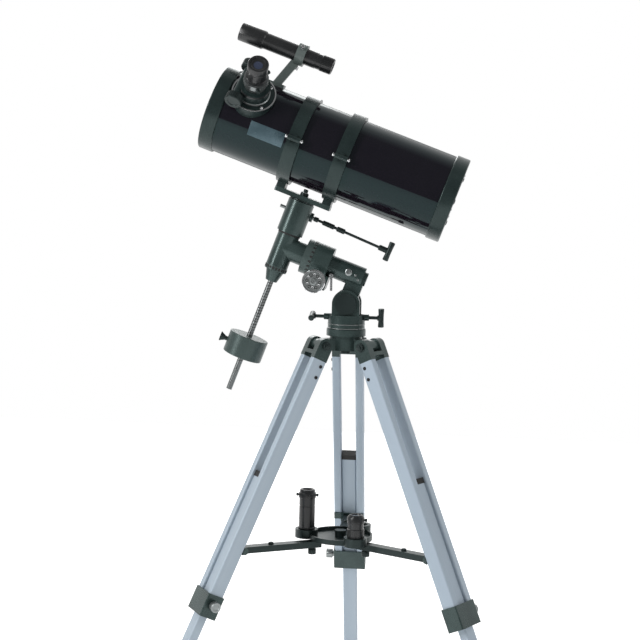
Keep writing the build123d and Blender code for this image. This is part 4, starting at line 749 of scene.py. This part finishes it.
def bare_plate():
    """A thin plate bent round the tube."""
    bpy.ops.object.select_all(action="DESELECT")
    bpy.ops.mesh.primitive_cylinder_add(vertices=PLATE_SIDES, radius=PLATE_RADIUS * MM,
                                        depth=PLATE_LENGTH * MM, end_fill_type="NOTHING")
    plate = bpy.context.active_object
    half = math.degrees(PLATE_HEIGHT / 2 / PLATE_RADIUS)
    select_faces(plate, lambda face: abs(math.degrees(math.atan2(face.center.y, face.center.x))) > half)
    bpy.ops.mesh.delete(type="FACE")
    bpy.ops.object.mode_set(mode="OBJECT")
    wall = plate.modifiers.new("wall", "SOLIDIFY")
    wall.thickness = PLATE_PROUD * MM
    wall.offset = 1
    edge = plate.modifiers.new("edge", "BEVEL")
    edge.width = PLATE_EDGE * MM
    edge.segments = 2
    only(plate)
    for modifier in ("wall", "edge"):
        bpy.ops.object.modifier_apply(modifier=modifier)
    place = TUBE @ mm(PLATE_AT, 0, 0) @ turn(PLATE_TURN, "X") @ ALONG_X
    settle(plate, "bare_plate", place, "tube", plate_blue)


CELL_BACK = 244
CELL_SCREWS = 46  # radius of the circle that the mirror's screws stand on
SPIDER_FRONT = -172


def rear_screws():
    """Three pairs of mirror adjusting screws on the rear cell."""
    place = TUBE @ mm(CELL_BACK, 0, 0) @ ALONG_X
    screws = scatter(screw_head(4.6, 1.5, 24), around(3, CELL_SCREWS, 0, 30))
    settle(screws, "mirror_screws", place, "tube", moulded_black)
    locks = scatter(screw_head(3.4, 1.5), around(3, CELL_SCREWS, 0, 50))
    settle(locks, "mirror_lock_screws", place, "tube", chrome)


def spider_screws():
    """Three screws and a middle one on the front of the small mirror's holder."""
    heads = scatter(screw_head(2.6, 2.2), around(3, 9, 0, 15) + [mm(0, 0, 0)])
    settle(heads, "spider_screws", TUBE @ mm(SPIDER_FRONT, 0, 0) @ BACK_X, "tube", dull_steel)


# Focuser, eyepiece and finder
PINION_ASIDE, PINION_HEIGHT = -22.3, 96


def focus_knob_pair():
    """Two knurled knobs on the pinion's shaft."""
    knob = turned(((5, 28.4), (5, 30), (13.6, 30.2), (15, 31), (15, 42.8), (13.8, 44), (9, 44),
                   (8.4, 43), (3, 43)), 48)
    knurl(knob, 31, 42.8, 48, 0.6)
    pair = scatter(knob, [TOWARDS_VIEW, AWAY])
    shaft = moved(turned(((2, -29), (2, 29)), 20), TOWARDS_VIEW)
    place = FOCUSER @ mm(PINION_ASIDE, 0, PINION_HEIGHT)
    settle(joined([pair, shaft]), "focus_knob_pair", place, "focus_knobs", moulded_black, "focus_knobs")


def focuser_trim():
    """Base screws, the rim, bright edge and top ring of the base, and the drawtube's clamp screws."""
    heads = scatter(screw_head(3, 2.2), around(4, 32, 80, 45))
    settle(heads, "focuser_base_screws", FOCUSER, "tube", chrome)
    rim = turned(((26.4, 80), (27.6, 80.6), (27.6, 83), (26.4, 83.8), (26.2, 84)), 64)
    settle(rim, "focuser_rim", FOCUSER, "tube", dull_steel)
    edge = hollowed(turned(((36.4, 79.8), (37.7, 80), (37.7, 80.7), (36.8, 81)), 96), 35.4)
    settle(edge, "focuser_flange_edge", FOCUSER, "tube", bright_steel)
    band = hollowed(turned(((25.9, 98.6), (26.8, 99.1), (26.8, 102.2), (25.9, 102.8)), 64), 25.2)
    settle(band, "focuser_top_ring", FOCUSER, "tube", black_anodised)
    thumb_spots = [turn(angle, "Z") @ mm(21, 0, 119) @ ALONG_X for angle in (-60, 60)]
    thumb = scatter(hand_knob(3.6, 7, 1.5, 3, 24), thumb_spots)
    settle(thumb, "drawtube_thumb_screws", FOCUSER, "drawtube", moulded_black)


def barrel(steps, grip, sides=60):
    """A turned eyepiece barrel with a ribbed grip between two heights."""
    return knurl(turned(steps, sides), grip[0], grip[1], sides, 0.5)


def eye_lens(radius, height):
    """A domed lens that fills a barrel's end."""
    return turned(((radius, height - 0.6), (radius, height), (0.7 * radius, height + 0.5),
                   (0.25 * radius, height + 0.7)), 40)


def focuser_eyepiece():
    steps = ((15.9, 102), (15.9, 106), (15.3, 106.4), (15.3, 108), (15.9, 108.4), (15.9, 123.9),
             (17.1, 124), (17.5, 124.5), (17.5, 128), (16.5, 128.6), (16.5, 130), (17.5, 130.6),
             (17.5, 146), (16.8, 146.8), (16.8, 148.2), (17.5, 149), (17.5, 160.6), (16.6, 162),
             (13.6, 162), (12.4, 159.4), (8, 157.4))
    settle(barrel(steps, (130.6, 146)), "focuser_eyepiece", FOCUSER, "eyepiece", black_anodised, "eyepiece")
    settle(eye_lens(7.8, 157.6), "focuser_eye_lens", FOCUSER, "eyepiece", lens_coating)


def tray_place(node):
    """The middle of a node's underside."""
    low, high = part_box(node)
    return Matrix.Translation(((low[0] + high[0]) / 2, (low[1] + high[1]) / 2, low[2]))


def tray_barrels():
    """The tall lens tube and the short eyepiece that stand in the tray."""
    tall = ((13.4, 0), (13.4, 14.9), (14.7, 15.1), (14.9, 15.5), (14.9, 17.6), (13.9, 18.4), (13.9, 55),
            (13.4, 55.4), (13.4, 57), (13.9, 57.4), (13.9, 69.6), (14.7, 70.2), (14.9, 71), (14.9, 78.6),
            (14.3, 79.4), (13.4, 79.8), (13.2, 83.8), (12.2, 85), (9, 85), (8.4, 82))
    place = tray_place("tray_lens_tube")
    settle(barrel(tall, (71, 78.6)), "tall_lens_tube", place, "tray_lens_tube", black_anodised,
           "tray_lens_tube")
    settle(eye_lens(8.2, 82.2), "tall_tube_lens", place, "tray_lens_tube", lens_coating)
    sides = [turn(angle, "Z") @ mm(15, 0, 75) @ ALONG_X for angle in (0, 180)]
    thumbs = scatter(hand_knob(2.6, 4.4, 1.2, 2, 20), sides)
    settle(thumbs, "tall_tube_screws", place, "tray_lens_tube", moulded_black)
    short = ((13.4, 0), (13.4, 14.9), (14.7, 15.1), (14.9, 15.6), (14.9, 30), (13.6, 30.8), (13.6, 40),
             (14.9, 40.8), (14.9, 50), (14.2, 51.4), (11.4, 55), (8.4, 55), (7.4, 53))
    place = tray_place("tray_eyepiece")
    settle(barrel(short, (15.6, 30)), "short_eyepiece", place, "tray_eyepiece", black_anodised,
           "tray_eyepiece")
    settle(eye_lens(7.2, 53.2), "short_eyepiece_lens", place, "tray_eyepiece", lens_coating)
    thumb = moved(hand_knob(2.8, 4.6, 1.2, 2, 20), mm(15, 0, 46) @ ALONG_X)
    settle(thumb, "short_eyepiece_screw", place, "tray_eyepiece", moulded_black)


FINDER_FRONT, FINDER_HEIGHT = -204, 136
FINDER_LENS_DEPTH = 3
FINDER_SCREWS, FINDER_SCREWS_AT = 19.4, 112  # out from the finder's axis, and along it from the front


def finder():
    """The finder's barrel with its front lens, and the screws of its bracket."""
    steps = ((13, 4), (14.2, 0), (15.4, 0), (16, 0.8), (16, 43), (15.2, 44.2), (14, 46), (14, 140),
             (13.3, 140.8), (13.3, 149), (14, 149.8), (14, 168.4), (13, 170), (9.4, 170), (8.2, 168))
    tube = barrel(steps, (149.8, 168.4))
    tube.data.materials.append(black_anodised)
    tube.data.materials.append(lens_coating)
    for face in tube.data.polygons:
        if face.normal.z < -0.9 and face.center.z > FINDER_LENS_DEPTH * MM:
            face.material_index = 1
    place = TUBE @ mm(FINDER_FRONT, 0, FINDER_HEIGHT) @ ALONG_X
    settle(tube, "finder_barrel", place, "tube", black_anodised, "finder_tube")
    spots = [turn(angle, "Z") @ mm(FINDER_SCREWS, 0, FINDER_SCREWS_AT) @ ALONG_X for angle in (0, 120, 240)]
    thumbs = scatter(hand_knob(3.4, 8, 1.6, 3, 24), spots)
    settle(thumbs, "finder_thumb_screws", place, "tube", chrome)


# Tripod pieces
RAIL_SIDE, RAIL_SCREW_ASIDE = 27.7, 6  # outer side of a rail, and the screws inwards of its middle
RAIL_SCREW_DROPS = (36, 56)
HINGE_SIDE = 28.2
LOCK_SIDE, LOCK_DROP = 30.4, 476
BRACE_BOLT_AT, BRACE_KNOB_AT = 132, 54  # from the tripod's axis


def leg_trim(number):
    """Rail screws, hinge nuts and the lock knob of one leg."""
    leg = LEG[number]
    spots = [mm(side * RAIL_SIDE, RAIL_SCREW_ASIDE, -drop) @ stand
             for side, stand in ((-1, BACK_X), (1, ALONG_X)) for drop in RAIL_SCREW_DROPS]
    settle(scatter(screw_head(3, 1.8), spots), f"leg_{number}_rail_screws", leg, f"leg_{number}", bore_black)
    nut = turned(((7.4, -0.4), (7.4, 3.4), (6.2, 4.4), (4.2, 4.4), (3.9, 6.2), (2.8, 7)), 6)
    nuts = scatter(nut, [mm(HINGE_SIDE, 0, 0) @ ALONG_X, mm(-HINGE_SIDE, 0, 0) @ BACK_X])
    settle(nuts, f"leg_{number}_hinge_nuts", leg, "tripod", moulded_black)
    knob = hand_knob(8.7, 15, 3, 16)
    place = leg @ mm(LOCK_SIDE, 0, -LOCK_DROP) @ ALONG_X
    settle(knob, f"leg_{number}_lock_knob", place, f"lock_{number}", dull_steel, f"leg_{number}_lock_screw")


def brace_trim(number):
    """A bolt on top of a brace and the thumb knob under its inner end."""
    low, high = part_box(f"leg_{number}_brace")
    out = (spot(f"brace_{number}_fold") - TRIPOD_AXIS).to_2d().normalized()
    top, under = high[2], low[2]

    def on_brace(radius, height):
        along = out * radius * MM
        return Matrix.Translation((TRIPOD_AXIS.x + along.x, TRIPOD_AXIS.y + along.y, height))

    bolt = turned(((4.6, -0.4), (4.6, 2.6), (3.6, 3.6), (2, 4.2)), 24)
    settle(bolt, f"brace_{number}_bolt", on_brace(BRACE_BOLT_AT, top), f"brace_{number}", moulded_black)
    knob = hand_knob(7, 12, 2, 1)
    hanging = on_brace(BRACE_KNOB_AT, under) @ turn(180, "X")
    settle(knob, f"brace_{number}_thumb_knob", hanging, f"brace_{number}", moulded_black)


def foot_tips():
    """Ribbed collars round the rubber feet."""
    for n in LEGS:
        collar = turned(((17.1, -706), (17.6, -707), (17.6, -713), (17.1, -714), (17.1, -718),
                         (17.6, -719), (17.6, -725), (17.1, -726)), 48)
        settle(collar, f"foot_{n}_collar", LEG[n], f"lower_leg_{n}", rubber)


make_camera()
make_studio()
dress_nodes()
slow_motion_knob()
dial_ticks()
mount_screws()
base_edges()
latitude_screws()
slow_motion_rod()
rod_thread()
weight_knob()
ring_knobs()
bare_plate()
rear_screws()
spider_screws()
focus_knob_pair()
focuser_trim()
focuser_eyepiece()
tray_barrels()
finder()
for n in LEGS:
    leg_trim(n)
    brace_trim(n)
foot_tips()
